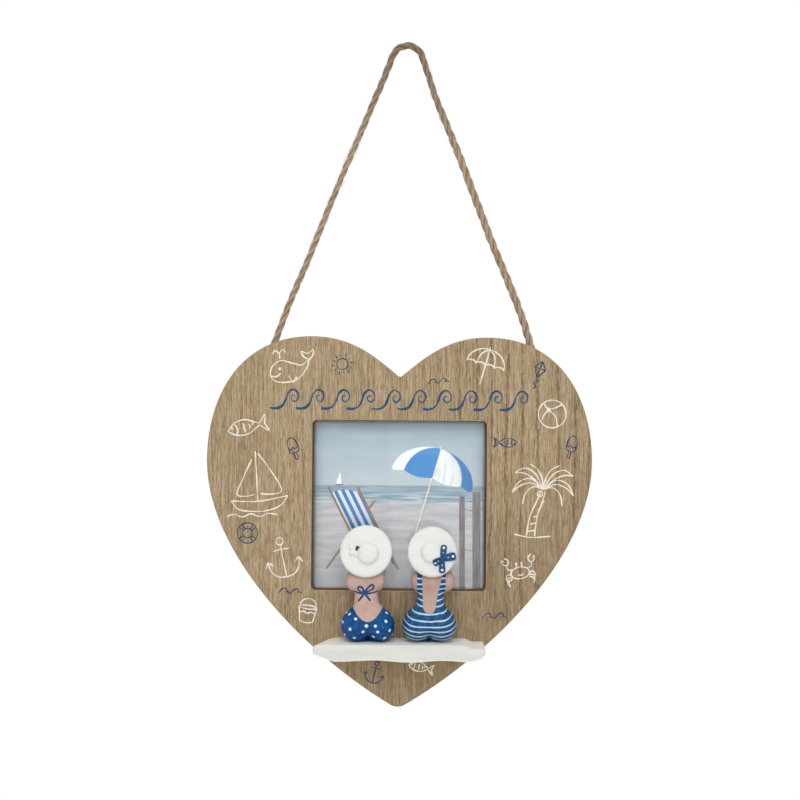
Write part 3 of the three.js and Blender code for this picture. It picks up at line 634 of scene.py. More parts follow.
def heart_outline(steps=36):
    half = HEART_WIDTH / 2
    side = HEART_TOP - SIDE_DROP
    cleft = HEART_TOP - CLEFT_DROP
    tip = HEART_TOP - HEART_HEIGHT
    angle = math.atan2(TIP_RUN, TIP_RISE)
    setback = TIP_RADIUS / math.tan(angle)
    start = (setback * math.sin(angle), tip + setback * math.cos(angle))
    flank = bezier(start, (TIP_RUN, tip + TIP_RISE), (half, side - SIDE_PULL_BELOW), (half, side), steps)
    lobe = bezier((half, side), (half, side + SIDE_PULL_ABOVE), (LOBE_OFFSET + LOBE_PULL_OUT, HEART_TOP),
                  (LOBE_OFFSET, HEART_TOP), steps)
    inner = bezier((LOBE_OFFSET, HEART_TOP), (LOBE_OFFSET - LOBE_PULL_IN, HEART_TOP),
                   (CLEFT_RUN, cleft + CLEFT_RISE), (0, cleft), steps)
    right = flank + lobe + [p for p in inner if math.hypot(p[0], p[1] - cleft) > CLEFT_ROUND]
    left = [np.array([-x, z]) for x, z in reversed(right)]
    round_cleft = round_corner(cleft, math.atan2(CLEFT_RUN, CLEFT_RISE), CLEFT_ROUND)[::-1]
    round_tip = round_corner(tip, angle, TIP_RADIUS)[1:-1]
    return np.array(right + round_cleft + left + round_tip)


def rounded_rectangle(width, height, radius, level, steps=8):
    points = []
    for corner in range(4):
        x = (width / 2 - radius) * (1 if corner in (0, 3) else -1)
        z = (height / 2 - radius) * (1 if corner < 2 else -1)
        for i in range(steps + 1):
            angle = (corner + i / steps) * math.pi / 2
            points.append((x + radius * math.cos(angle), level + z + radius * math.sin(angle)))
    return np.array(points)


def moved_in(outline, distance):
    """An outline that turns left, moved towards its inside."""
    before = outline - np.roll(outline, 1, axis=0)
    after = np.roll(outline, -1, axis=0) - outline
    before /= np.linalg.norm(before, axis=1)[:, None]
    after /= np.linalg.norm(after, axis=1)[:, None]
    inward = np.stack([-(before + after)[:, 1], (before + after)[:, 0]], axis=1)
    inward *= (2 / (inward**2).sum(axis=1))[:, None]
    return outline + inward * distance


def eased(front, back, ease, steps=5):
    """Inset and y of a rounded edge, from a face at front round towards back."""
    sign = 1 if back > front else -1
    angles = [math.pi / 2 * i / steps for i in range(steps + 1)]
    return [(ease * (1 - math.sin(a)), front + sign * ease * (1 - math.cos(a))) for a in angles]


def ring_at(outline, inset, y):
    return [(x, y, z) for x, z in moved_in(outline, inset)]


def plate_side(outline, front, back, ease, sign=1):
    """Rings of a plate's side from front to back, with eased edges; sign is -1 in a hole."""
    rings = [ring_at(outline, sign * inset, y) for inset, y in eased(front, back, ease)]
    return rings + [ring_at(outline, sign * inset, y) for inset, y in reversed(eased(back, front, ease))]


def cut(piece, tools):
    """Cuts meshes out of a piece."""
    for tool in tools:
        cutter = bpy.data.objects.new("cutter", tool)
        bpy.context.scene.collection.objects.link(cutter)
        modifier = piece.modifiers.new("cut", "BOOLEAN")
        modifier.object = cutter
        modifier.solver = "EXACT"
        shown = piece.evaluated_get(bpy.context.evaluated_depsgraph_get())
        piece.data = bpy.data.meshes.new_from_object(shown)
        piece.modifiers.clear()
        bpy.data.objects.remove(cutter)


def socket_tool(end, out):
    """A round cutter along one end of the cord."""
    end, out = (np.array([p[0], 0, p[1]], float) for p in (end, out))
    ahead = (out - end) / np.linalg.norm(out - end)
    aside = np.array([-ahead[2], 0, ahead[0]])
    radius = CORD_DIAMETER / 2 + SOCKET_PLAY
    angles = circle(SOCKET_SIDES)
    rings = [ring_about(p, aside, radius, angles) for p in (end, out + SOCKET_REACH * ahead)]
    return Shape(rings).mesh("socket")


def ring_edges(work, ring):
    """The edges of a closed ring of points, made where there is none yet."""
    pairs = zip(ring, ring[1:] + ring[:1])
    return [work.edges.get(pair) or work.edges.new(pair) for pair in pairs]


def pierced_plate(name, outside, inside):
    """A plate between the rings of its outer side and those of its hole, each from front to back."""
    work = bmesh.new()
    loops = []
    for rings in (outside, inside):
        loops.append([[work.verts.new(Vector(p) * MM) for p in ring] for ring in rings])
    for rings in loops:
        for a, b in zip(rings, rings[1:]):
            for j in range(len(a)):
                k = (j + 1) % len(a)
                work.faces.new((a[j], a[k], b[k], b[j]))
    for end in (0, -1):
        rims = [edge for rings in loops for edge in ring_edges(work, rings[end])]
        bmesh.ops.triangle_fill(work, edges=rims, use_beauty=True)
    bmesh.ops.recalc_face_normals(work, faces=work.faces)
    mesh = bpy.data.meshes.new(name)
    work.to_mesh(mesh)
    work.free()
    return mesh


def sharpen_flat_faces(mesh):
    """Keeps the rounding of the edges out of the shading of the flat front and back."""
    work = bmesh.new()
    work.from_mesh(mesh)
    for edge in work.edges:
        flat = [abs(face.normal.y) > 0.9999 for face in edge.link_faces]
        if any(flat) and not all(flat):
            edge.smooth = False
    work.to_mesh(mesh)
    work.free()


def make_board():
    window = rounded_rectangle(WINDOW_WIDTH, WINDOW_HEIGHT, WINDOW_CORNER, WINDOW_LEVEL)
    rebate = rounded_rectangle(
        WINDOW_WIDTH + 2 * REBATE_LIP, WINDOW_HEIGHT + 2 * REBATE_LIP, REBATE_CORNER, WINDOW_LEVEL)
    outside = plate_side(heart_outline(), BOARD_FRONT, BOARD_BACK, EDGE_EASE)
    hole = [ring_at(window, -inset, y) for inset, y in eased(BOARD_FRONT, BOARD_BACK, EDGE_EASE)]
    hole.append(ring_at(window, 0, REBATE_FLOOR))
    hole += [ring_at(rebate, 0, y) for y in (REBATE_FLOOR, BOARD_BACK)]
    plate = pierced_plate("board", outside, hole)
    board = place("board", plate, oak_material(), "oak_board", "heart_board")
    cut(board, [socket_tool(CORD_ROUTE[0], CORD_ROUTE[1]), socket_tool(CORD_ROUTE[-1], CORD_ROUTE[-2])])
    finish_mesh(board.data, 40)
    sharpen_flat_faces(board.data)


make_board()


# Drawings on the board: strokes in a square of side 1 about the drawing's middle, x and then z

def arc(x, z, radius, start=0, end=360, steps=9, flat=1):
    """Points on an arc; its angles are in degrees, and flat squeezes it up and down."""
    angles = [math.radians(start + (end - start) * i / steps) for i in range(steps + 1)]
    return [(x + radius * math.cos(a), z + flat * radius * math.sin(a)) for a in angles]


def both_sides(*strokes):
    return [*strokes, *[[(-x, z) for x, z in stroke] for stroke in strokes]]


def draw_boat():
    hull = [(-0.42, -0.26), (-0.32, -0.39), (-0.12, -0.44), (0.16, -0.44), (0.36, -0.37), (0.48, -0.23)]
    deck = [(-0.42, -0.26), (0, -0.29), (0.48, -0.23)]
    mast = [(0, -0.28), (0.01, 0.5)]
    big_sail = [(0.05, 0.46), (0.22, 0.2), (0.38, -0.15), (0.2, -0.19), (0.05, -0.17)]
    small_sail = [(-0.05, 0.38), (-0.19, 0.12), (-0.31, -0.17), (-0.18, -0.2), (-0.05, -0.18)]
    sea = [(-0.5, -0.5), (-0.38, -0.47), (-0.26, -0.52), (-0.12, -0.48), (0.02, -0.53), (0.16, -0.49),
           (0.3, -0.52)]
    return [hull, deck, mast, big_sail, small_sail, sea]


def draw_anchor():
    stock = [(-0.19, 0.2), (0, 0.22), (0.19, 0.2)]
    arm = [(0, -0.45), (0.2, -0.4), (0.33, -0.25), (0.37, -0.05)]
    fluke = [(0.26, -0.13), (0.37, -0.04), (0.44, -0.17)]
    return [arc(0, 0.41, 0.085), [(0, 0.33), (0, -0.46)], stock, *both_sides(arm, fluke)]


def draw_fish():
    back = [(-0.5, 0), (-0.3, 0.16), (-0.02, 0.19), (0.3, 0.02)]
    belly = [(-0.5, 0), (-0.3, -0.14), (-0.02, -0.17), (0.3, -0.02)]
    tail = [(0.3, 0.02), (0.5, 0.2), (0.44, 0), (0.5, -0.2), (0.3, -0.02)]
    spots = [(-0.12, 0.06), (-0.12, -0.06), (0.02, 0), (0.1, 0.07)]
    scales = [arc(x, z, 0.05, -80, 80, 5) for x, z in spots]
    return [back, belly, tail, arc(-0.42, 0, 0.17, -50, 50, 5), arc(-0.38, 0.05, 0.02, steps=5), *scales]


def draw_sun():
    turns = [math.radians(30 * i + 10) for i in range(12)]
    reach = [0.5, 0.42]
    rays = [[(0.33 * math.cos(a), 0.33 * math.sin(a)), (r * math.cos(a), r * math.sin(a))]
            for a, r in zip(turns, reach * 6)]
    return [arc(0, 0, 0.24, steps=12), *rays]


def draw_lifebuoy():
    bands = []
    for turn in (45, 135, 225, 315):
        for lean in (-11, 11):
            a = math.radians(turn + lean)
            bands.append([(r * math.cos(a), r * math.sin(a)) for r in (0.24, 0.35, 0.47)])
    return [arc(0, 0, 0.48, steps=14), arc(0, 0, 0.23, steps=10), *bands]


def draw_palm():
    left = [(-0.13, -0.46), (-0.1, -0.2), (0, 0.06), (0.04, 0.17)]
    right = [(-0.02, -0.46), (0, -0.2), (0.07, 0.05), (0.09, 0.16)]
    marks = []
    for i in range(5):
        lean, level = 0.006 * i * i, 0.1 * i
        marks.append([(-0.12 + 0.02 * i + lean, level - 0.4), (lean - 0.01, level - 0.38)])
    fronds = [
        [(0.18, 0.13), (0.33, 0.08), (0.42, -0.07)], [(0.13, 0.21), (0.27, 0.27), (0.4, 0.2)],
        [(0.14, 0.02), (0.24, -0.08), (0.27, -0.22)], [(0.03, 0.16), (0.1, 0.27), (0.2, 0.33)],
        [(0.17, 0.07), (0.31, 0.03), (0.42, -0.07)], [(0.15, 0.14), (0.28, 0.2), (0.4, 0.2)],
    ]
    fronds = both_sides(*[[(0, 0), *frond] for frond in fronds])
    crown = [[(0.06 + x, 0.19 + z) for x, z in frond] for frond in fronds]
    ground = [(-0.3, -0.45), (-0.08, -0.48), (0.2, -0.45)]
    return [left, right, *marks, *crown, ground, arc(0.02, 0.12, 0.035, steps=6)]


def draw_ball():
    seams = [[(-0.1, 0.16), (0.16, 0.2), (0.38, 0.28)], [(-0.1, 0.16), (0.1, -0.1), (0.12, -0.46)],
             [(-0.1, 0.16), (-0.28, 0), (-0.42, -0.22)], [(-0.1, 0.16), (-0.2, 0.3), (-0.22, 0.42)]]
    return [arc(0, 0, 0.48, steps=14), arc(-0.1, 0.16, 0.05, steps=6), *seams]


def draw_parasol():
    canopy = arc(0, 0.02, 0.5, 0, 180, 12, 0.86)
    hem = [arc(-0.375 + 0.25 * i, 0.01, 0.125, 180, 0, 5, 0.5) for i in range(4)]
    ribs = both_sides([(0, 0.45), (-0.17, 0.3), (-0.25, 0)])
    pole = [[(0, 0.45), (0, 0.02)], [(0, 0.02), (0, -0.5)], [(0, 0.45), (0, 0.52)]]
    return [canopy, *hem, *ribs, *pole]


def draw_bucket():
    side = [(0.36, 0.14), (0.3, -0.2), (0.26, -0.44)]
    band = [(-0.31, -0.1), (-0.15, -0.05), (0, -0.11), (0.15, -0.05), (0.31, -0.1)]
    foot = [(-0.26, -0.44), (0, -0.49), (0.26, -0.44)]
    brim, handle = arc(0, 0.14, 0.36, steps=14, flat=0.2), arc(0, 0.16, 0.34, 10, 170, 8, 0.95)
    return [*both_sides(side), brim, foot, band, handle]


def draw_lolly():
    glaze = [(-0.2, 0.06), (-0.12, -0.04), (-0.03, 0.05), (0.07, -0.03), (0.2, 0.07)]
    body = [(-0.2, -0.16), (-0.2, 0.24), (-0.12, 0.42), (0, 0.48), (0.12, 0.42), (0.2, 0.24), (0.2, -0.16)]
    stick = [(0.05, -0.18), (0.05, -0.46), (0, -0.5), (-0.05, -0.46), (-0.05, -0.18)]
    return [body, [(-0.2, -0.16), (0, -0.19), (0.2, -0.16)], stick, glaze]


def draw_kite():
    top, right, foot, left = (0, 0.5), (0.28, 0.14), (0, -0.3), (-0.28, 0.14)
    edges = [[top, right], [right, foot], [foot, left], [left, top], [top, foot], [left, right]]
    tail = [(0, -0.3), (0.1, -0.44), (-0.06, -0.58), (0.1, -0.72), (0, -0.86)]
    knots = [[(0.04, -0.38), (0.16, -0.46)], [(-0.08, -0.6), (0.06, -0.62)], [(0.02, -0.7), (0.16, -0.76)]]
    return [*edges, tail, *knots]


def draw_crab():
    legs = []
    for i in range(3):
        knee, toe = (0.38, -0.04 - 0.11 * i), (0.44 - 0.05 * i, -0.18 - 0.1 * i)
        legs.append([(0.24, -0.06 - 0.05 * i), knee, toe])
    arm = [(0.2, 0.08), (0.34, 0.12), (0.36, 0.24)]
    claw = [(0.4, 0.46), (0.3, 0.38), (0.3, 0.28), (0.36, 0.24), (0.45, 0.28), (0.48, 0.4), (0.4, 0.34)]
    eye = [[(0.07, 0.12), (0.08, 0.22)], arc(0.08, 0.24, 0.025, steps=5)]
    shell, mark = arc(0, -0.03, 0.27, steps=14, flat=0.62), arc(0, 0, 0.1, 220, 320, 5)
    return [shell, *both_sides(*legs, arm, claw, *eye), mark]


def draw_wavelet():
    return [[(-0.5, -0.08), (-0.36, 0.1), (-0.2, 0.12), (-0.14, -0.02), (-0.22, -0.04)],
            [(-0.2, 0.12), (-0.02, -0.1), (0.14, 0.06), (0.3, 0.1), (0.36, -0.03), (0.28, -0.05)],
            [(0.3, 0.1), (0.42, -0.06), (0.5, -0.08)]]


def draw_whale():
    back = [(0.37, 0.15), (0.22, 0.05), (0, 0.12), (-0.22, 0.2), (-0.42, 0.1), (-0.5, -0.08)]
    belly = [(-0.5, -0.08), (-0.4, -0.22), (-0.16, -0.28), (0.12, -0.22), (0.32, -0.02), (0.38, 0.14)]
    flukes = [(0.37, 0.15), (0.28, 0.22), (0.24, 0.34), (0.37, 0.28), (0.5, 0.34), (0.47, 0.21),
              (0.38, 0.14)]
    mouth = [(-0.49, -0.1), (-0.36, -0.13), (-0.26, -0.07)]
    fin = [(-0.1, -0.14), (-0.02, -0.3), (0.07, -0.19)]
    spout = [[(-0.24, 0.24), (-0.25, 0.37), (-0.33, 0.43), (-0.38, 0.36)],
             [(-0.24, 0.24), (-0.22, 0.38), (-0.14, 0.43), (-0.1, 0.36)]]
    return [back, belly, flukes, mouth, fin, *spout, arc(-0.26, 0.03, 0.02, steps=5)]


# Drawing, x and z of its middle, size and turn to the left in degrees
WHITE_DRAWINGS = [
    (draw_fish, -79, -198, 21, 14), (draw_boat, -74, -227, 33, 4), (draw_anchor, -60, -266, 22, 12),
    (draw_parasol, 44, -165.5, 20, -16), (draw_ball, 79, -190, 15, 8), (draw_palm, 72, -236, 38, -3),
    (draw_crab, 63, -272, 18, 10), (draw_bucket, -47, -293, 13, -8), (draw_fish, 12, -322, 13, -12),
    (draw_whale, -56, -167.5, 24, 8),
]
BLUE_DRAWINGS = [
    (draw_sun, -30, -165, 12, 0), (draw_lifebuoy, -78.5, -253, 11, 0), (draw_wavelet, -56, -283, 12, 0),
    (draw_kite, 72, -168, 11, -20), (draw_lolly, 89, -207, 12, -15), (draw_fish, 55, -205, 12, 180),
    (draw_wavelet, 50, -295, 13, 4), (draw_anchor, -12, -325, 12, -14), (draw_lolly, -55, -209, 12, 20),
    (draw_wavelet, 20, -173.5, 11, 8),
]


def add_stroke(shape, points, width, rolls, thinning=0):
    """A line of paint by hand on the board's front: a little uneven, with round ends."""
    path = smooth_path(points, PAINT_STEP)
    ahead, run = runs(path)
    starts = [rolls.uniform(0, 6) for _ in range(2)]
    sunk, proud = BOARD_FRONT + PAINT_SINK, BOARD_FRONT - PAINT_RISE
    rings = []
    for (x, z), (dx, dz), at in zip(path, ahead, run):
        uneven = 0.8 + 0.22 * math.sin(at / 2.4 + starts[0]) + 0.08 * math.sin(at / 0.9 + starts[1])
        end = min(1, (min(at, run[-1] - at) + 0.1 * width) / (0.5 * width))
        half = width / 2 * uneven * quarter(end) * (1 - thinning * at / run[-1])
        rings.append([(x - half * dz, sunk, z + half * dx), (x, proud, z),
                      (x + half * dz, sunk, z - half * dx), (x, sunk + PAINT_SINK, z)])
    shape.add(rings)


def add_drawings(shape, drawings, width, rolls):
    for draw, x, z, size, turn in drawings:
        cos, sin = math.cos(math.radians(turn)), math.sin(math.radians(turn))
        for stroke in draw():
            points = [(x + size * (a * cos - b * sin), z + size * (a * sin + b * cos)) for a, b in stroke]
            add_stroke(shape, points, width, rolls)


def add_scrolls(shape, rolls):
    """A row of curling waves across the top of the board."""
    wave = [(-0.1, 0.02), (0.14, 0), (0.36, 0.1), (0.5, 0.36), (0.6, 0.66), (0.78, 0.82), (0.97, 0.7),
            (1.0, 0.46), (0.87, 0.3), (0.73, 0.4), (0.76, 0.56), (0.86, 0.56)]
    for i in range(SCROLL_COUNT):
        left = (i - SCROLL_COUNT / 2) * SCROLL_PITCH
        points = [(left + a * SCROLL_PITCH, SCROLL_LEVEL + b * SCROLL_HEIGHT) for a, b in wave]
        add_stroke(shape, points, SCROLL_LINE, rolls, thinning=0.5)


def board_paint(name, colour, worn_most):
    """Paint that is thinner over the wood's pores and streaks."""
    material, shader, (x, y, z) = new_material(name)
    wood, pores, height = oak_fields(x, y, z)
    patches = noise(x * 0.9, y, z * 0.25, detail=3, roughness=0.6)
    worn = (patches.rise(0.42, 0.75) * worn_most + pores * 0.35).least(0.85)
    finish_surface(shader, mix(worn, colour, wood), patches * 0.2 + 0.5, height, 0.15)
    return material


def make_board_paint():
    rolls = random.Random(11)
    white, blue, scrolls = Shape(), Shape(), Shape()
    add_drawings(white, WHITE_DRAWINGS, WHITE_LINE, rolls)
    add_drawings(blue, BLUE_DRAWINGS, BLUE_LINE, rolls)
    add_scrolls(scrolls, rolls)
    place("white_drawings", white, board_paint("white_paint", rgb(240, 234, 220), 0.35), "oak_board")
    place("blue_drawings", blue, board_paint("slate_paint", rgb(26, 64, 98), 0.3), "oak_board")
    place("scroll_row", scrolls, board_paint("blue_paint", rgb(26, 74, 114), 0.15), "oak_board")


make_board_paint()


# Picture, pane and backing

def beach_colour(across, up):
    """Sky, sea and sand."""
    cloud = noise(across * 0.03, up * 0.09, 2, detail=4)
    sky = layers(
        rgb(174, 184, 193),
        (up.rise(HORIZON, 42), rgb(144, 163, 178)),
        (cloud.rise(0.45, 0.75) * 0.45, rgb(186, 193, 200)))
    swell = noise(across * 0.045, up * 0.8, 5, detail=3)
    foam = noise(across * 0.06, up * 0.55, 9, detail=5, roughness=0.6)
    sea = layers(
        rgb(116, 140, 156),
        (swell.rise(0.35, 0.68), rgb(152, 170, 182)),
        (foam.rise(0.5, 0.64) * up.rise(HORIZON - 2, SHORE), rgb(208, 211, 215)))
    ripple = noise(across * 0.05, up * 0.3, 13, detail=5, roughness=0.6)
    sand = layers(
        rgb(164, 163, 169),
        (ripple.rise(0.3, 0.7), rgb(194, 192, 195)),
        (up.rise(-20, -44) * 0.5, rgb(158, 157, 162)))
    edge = up + noise(across * 0.05, 0, 17, detail=3) * 5 - 2.5
    at_sea, on_land = up.rise(HORIZON + 0.3, HORIZON - 0.3), edge.rise(SHORE + 0.8, SHORE - 0.8)
    return layers(sky, (at_sea, sea), (on_land, sand))


def add_parasol(colour, across, up):
    """A leaning blue and white parasol on a pole."""
    lean, reach, rise = math.radians(16), 22, 17
    across, up = across - 17, up - 13
    along = across * math.cos(lean) - up * math.sin(lean)
    high = across * math.sin(lean) + up * math.cos(lean)
    pole = inside(-0.45, along, 0.45) * inside(-42, high, rise + 1.6)
    pole_colour = mix(along.rise(-0.4, 0.4), rgb(236, 234, 228), rgb(150, 146, 140))
    out, above = (along / reach) * (along / reach), (high / rise) * (high / rise)
    turn = (along / ((1 - above).most(0.001).math("SQRT") * reach)).most(-1).least(1).math("ARCSINE")
    gores = (turn * 4).sin()
    hem = gores.abs() * -1.5 + 1
    canopy = inside(hem, high, rise + 1) * (1 - out - above).rise(0, 0.02)
    fold = noise(turn * 9, high * 0.08, 21, detail=3)
    cloth = layers(
        rgb(28, 124, 192),
        (gores.rise(-0.06, 0.06), rgb(232, 233, 231)),
        (fold.rise(0.45, 0.8) * 0.3 + turn.rise(0, 1.6) * 0.35, rgb(16, 62, 110)))
    return layers(colour, (pole, pole_colour), (canopy, cloth))


def add_deck_chair(colour, across, up):
    """A striped sling between two slanting rails."""
    along = across + 20 + (up + 10) * 0.5
    weave = noise(across * 3, up * 3, 25)
    cloth = layers(
        rgb(22, 118, 188),
        ((along * 1.55).sin().rise(-0.12, 0.12), rgb(230, 231, 230)),
        (weave * 0.3 + up.rise(4, -22) * 0.4, rgb(20, 60, 100)))
    sling = inside(-7, along, 7) * inside(-30, up + along * along * 0.03, 7.5)
    rails = inside(7, along.abs(), 8.4) * inside(-34, up, 9)
    leg = inside(-0.7, across + 24 - (up + 14) * 0.7, 0.7) * inside(-34, up, 2)
    wood = mix(weave, rgb(112, 82, 62), rgb(158, 124, 96))
    return layers(colour, (leg.most(rails), wood), (sling, cloth))


def add_posts(colour, across, up):
    """Weathered posts and two slack wires at the right."""
    grain = noise(across * 1.4, up * 0.07, 29, detail=4, roughness=0.65)
    wood = mix(grain.rise(0.3, 0.7), rgb(74, 66, 72), rgb(142, 132, 136))
    for level in (-3, -24):
        line = level + (across - 39) * (across - 39) * 0.05
        wire = inside(-0.2, up - line, 0.2) * across.rise(31.4, 31.6)
        colour = mix(wire * 0.8, colour, rgb(90, 84, 90))
    for middle, half, top in ((33, 1.5, 4.5), (40.5, 2.1, 7), (45.5, 1.2, 3.5)):
        post = inside(-half, across - middle + up * 0.01, half) * (top - up).rise(-0.15, 0.15)
        colour = mix(post, colour, wood)
    return colour


def add_sail(colour, across, up):
    """A boat far out on the sea."""
    top = HORIZON + 7
    sail = inside((up - top) * 0.34, across + 31, (top - up) * 0.1) * inside(HORIZON + 0.6, up, top)
    hull = inside(-2.2, across + 31, 1.6) * inside(HORIZON - 0.2, up, HORIZON + 0.5)
    return layers(colour, (sail, rgb(240, 240, 238)), (hull, rgb(92, 104, 118)))


def picture_material():
    """A beach printed on satin paper, with a parasol, a deck chair and posts, painted shade towards its
    sides and a painted shadow along the lip.
    """
    material, shader, (x, _, z) = new_material("beach_print")
    up = z - WINDOW_LEVEL
    colour = beach_colour(x, up)
    for add in (add_sail, add_posts, add_deck_chair, add_parasol):
        colour = add(colour, x, up)
    from_side = WINDOW_WIDTH / 2 - x.abs()
    from_lip = from_side.least(WINDOW_HEIGHT / 2 - up)
    speck = noise(x * 7, up * 7, 33)
    colour = layers(
        colour,
        # painted shade towards the left and right sides, and a painted shadow along the lip
        (from_side.rise(7, 0) * 0.3, rgb(100, 112, 120)),
        (from_lip.rise(1.8, 0.6) * 0.65, rgb(62, 52, 45)),
        (speck.rise(0.3, 0.8) * 0.08, rgb(120, 120, 124)))
    finish_surface(shader, colour, speck * 0.1 + 0.4, speck, 0.02)
    return material


def pane_material():
    """Clear glass that lets the lamps' light through to the picture."""
    material, shader, (x, y, z) = new_material("window_glass", gloss=0.5)
    shader.inputs["Base Color"].default_value = (0.97, 0.99, 0.98, 1)
    shader.inputs["Transmission Weight"].default_value = 1
    shader.inputs["IOR"].default_value = 1.45
    smear = noise(x * 0.05 + z * 0.03, y, z * 0.02, detail=3)
    put(smear.rise(0.5, 0.8) * 0.02, shader.inputs["Roughness"])
    make_clear(shader, ray_is(material.node_tree, "Shadow"))
    return material


def hardboard_material():
    material, shader, (x, y, z) = new_material("hardboard")
    fibres = noise(x * 1.3, y * 1.3, z * 1.3, detail=6, roughness=0.75, distortion=1.2)
    patches = noise(x * 0.05, y * 0.05, z * 0.05)
    colour = layers(
        rgb(92, 66, 46),
        (fibres.rise(0.3, 0.7), rgb(146, 112, 82)),
        (patches.rise(0.4, 0.8) * 0.3, rgb(84, 62, 46)))
    finish_surface(shader, colour, fibres * 0.2 + 0.62, fibres, 0.12)
    return material


def make_picture():
    """Gives the flat CAD nodes in the rebate, which keep their shapes, their materials."""
    looks = {"photo_print": picture_material(), "glazing_pane": pane_material(),
             "backing_panel": hardboard_material()}
    for node, material in looks.items():
        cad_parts[node].material_slots[0].material = material


make_picture()


# Ledge

def white_paint(name, colour, dirt, roughness, top=None):
    """White paint on a cast: mottling, brush marks, a little dirt, and a painted highlight on the top and
    underside.
    """
    material, shader, (x, y, z) = new_material(name)
    mottle = noise(x * 0.05, y * 0.12, z * 0.16, detail=3)
    brush = noise(x * 0.25, y * 1.6, z * 1.6, detail=3, roughness=0.6)
    colour = layers(colour, (mottle.rise(0.35, 0.75) * 0.5, dirt), (brush.rise(0.55, 0.8) * 0.35, dirt))
    if top:
        upward = facing(material.node_tree)[2]
        # painted highlight: faces that look up and faces that look down turn to the lighter colour top
        colour = layers(colour, (upward.rise(0.75, 0.97) * 0.85, top), (upward.rise(-0.1, -0.7) * 0.9, top))
    finish_surface(shader, colour, brush * 0.15 + roughness, brush, 0.06)
    return material


def ledge_levels(along):
    """Levels of the ledge's top and underside and how far its front waves, at a place along it."""
    wave = LEDGE_WAVE * math.sin(2 * math.pi * (along - LEDGE_WAVE_START) / LEDGE_WAVE_LENGTH)
    from_left, from_right = along + LEDGE_LENGTH / 2, LEDGE_LENGTH / 2 - along
    top = LEDGE_TOP - LEDGE_LEFT_FALL * max(0, 1 - from_left / LEDGE_LEFT_RUN)**2
    step = min(1, max(0, (LEDGE_RIGHT_RUN - from_right) / LEDGE_RIGHT_STEP))
    top -= LEDGE_RIGHT_FALL * step * step * (3 - 2 * step)
    bottom = LEDGE_TOP - LEDGE_THICKNESS - wave / 2
    bottom += LEDGE_LEFT_RISE * max(0, 1 - from_left / LEDGE_LEFT_CUT)
    past = max(0, 1 - from_right / LEDGE_RIGHT_ROUND)
    bottom += LEDGE_RIGHT_RISE * (1 - math.sqrt(1 - past * past))
    near_end = min(1, min(from_left, from_right) / LEDGE_ROUND)
    return top, bottom, wave - LEDGE_ROUND * (1 - quarter(near_end))


def ledge_section(along):
    """y and z round the ledge, from the foot of its back up, forward, down and back."""
    top, bottom, wave = ledge_levels(along)
    face = BOARD_FRONT - SEAT_GAP
    front = face - LEDGE_DEPTH - wave
    corner = min(LEDGE_ROUND, 0.45 * (top - bottom))
    turns = [math.pi / 2 * i / 6 for i in range(7)]
    points = [(face, bottom), (face, top)]
    points += [(face + (front + corner - face) * i / 18, top) for i in range(1, 18)]
    points += [(front + corner * (1 - math.sin(a)), top - corner * (1 - math.cos(a))) for a in turns]
    points += [(front, top - corner + (bottom + 2 * corner - top) * i / 8) for i in range(1, 8)]
    points += [(front + corner * (1 - math.cos(a)), bottom + corner * (1 - math.sin(a))) for a in turns]
    points += [(front + corner + (face - front - corner) * i / 18, bottom) for i in range(1, 18)]
    return np.array(points)


def ledge_groove(along, step):
    """Depth of the long soft grooves of worn wood at a place along the ledge and round it."""
    bend = 1.2 * math.sin(along / 8.5 + 1) + 0.6 * math.sin(along / 3.7)
    groove = math.sin(step * 0.9 + bend) + 0.6 * math.sin(step * 2.1 - 0.7 * bend + along / 14)
    return LEDGE_GROOVE * (1.6 + groove)


def make_ledge():
    rings = []
    for i in range(LEDGE_STEPS + 1):
        along = -LEDGE_LENGTH / 2 * math.cos(math.pi * i / LEDGE_STEPS)
        section = ledge_section(along)
        middle = section.mean(axis=0)
        ring = []
        for step, (y, z) in enumerate(section):
            inward = (middle - (y, z)) / np.linalg.norm(middle - (y, z))
            depth = ledge_groove(along, step) if y < BOARD_FRONT - 1 else 0
            y, z = y + inward[0] * depth * 0.3, z + inward[1] * depth
            near_board = 1 - (BOARD_FRONT - y) / LEDGE_DEPTH
            slant = LEDGE_LEFT_SLANT * near_board * (0.5 - along / LEDGE_LENGTH)
            ring.append((LEDGE_PLACE + along + slant, y, z))
        rings.append(ring)
    # the last colour is the painted highlight on the ledge's top and underside
    paint = white_paint("ledge_paint", rgb(223, 223, 218), rgb(206, 205, 199), 0.5, rgb(254, 248, 242))
    place("ledge", Shape(rings), paint, "ledge_white", "driftwood_ledge", smooth_angle=40)


make_ledge()


# Figures

def body_balls(figure):
    """The soft balls that run into one body: x, level, and half sizes across, deep and tall."""
    waist, lean, level = figure["waist"], figure["lean"], figure["hip_level"]
    balls = [(0, 13.5, waist + 2.6, 6.4, 6.6), (figure["sway"], 21.5, waist, 4.4, 7.5),
             (lean, 31, 6.2, 5.2, 6.5), (lean, 39, 3.2, 3.2, 6), (0, 10.2, 5.5, 8.9, 5.5)]
    for side in (-1, 1):
        balls.append((side * (HIP_WIDTH / 2 - 7.3), level, 7.3, 9.7, 7.9))
        balls.append((side * (figure["shoulders"] / 2 - 4) + lean, 31, 4, 4.4, 5.2))
    return balls


def body_reach(balls, cos, sin, height):
    """Distance from the body's middle line out to its surface, for grids of directions and heights."""
    def is_inside(reach):
        total = 0
        for x, level, across, deep, tall in balls:
            square = ((reach * cos - x) / across)**2 + (reach * sin / deep)**2 + ((height - level) / tall)**2
            total = total + np.exp(BODY_BLEND * (1 - square))
        return total >= 1

    near = np.full(cos.shape, HIP_WIDTH, float)
    far = near.copy()
    while True:
        outside = (near > 0) & ~is_inside(near)
        if not outside.any():
            break
        far = np.where(outside, near, far)
        near = np.where(outside, near - 0.25, near)
    for _ in range(12):
        between = (near + far) / 2
        within = is_inside(between)
        near = np.where(within, between, near)
        far = np.where(within, far, between)
    return np.maximum(near, BODY_CORE)


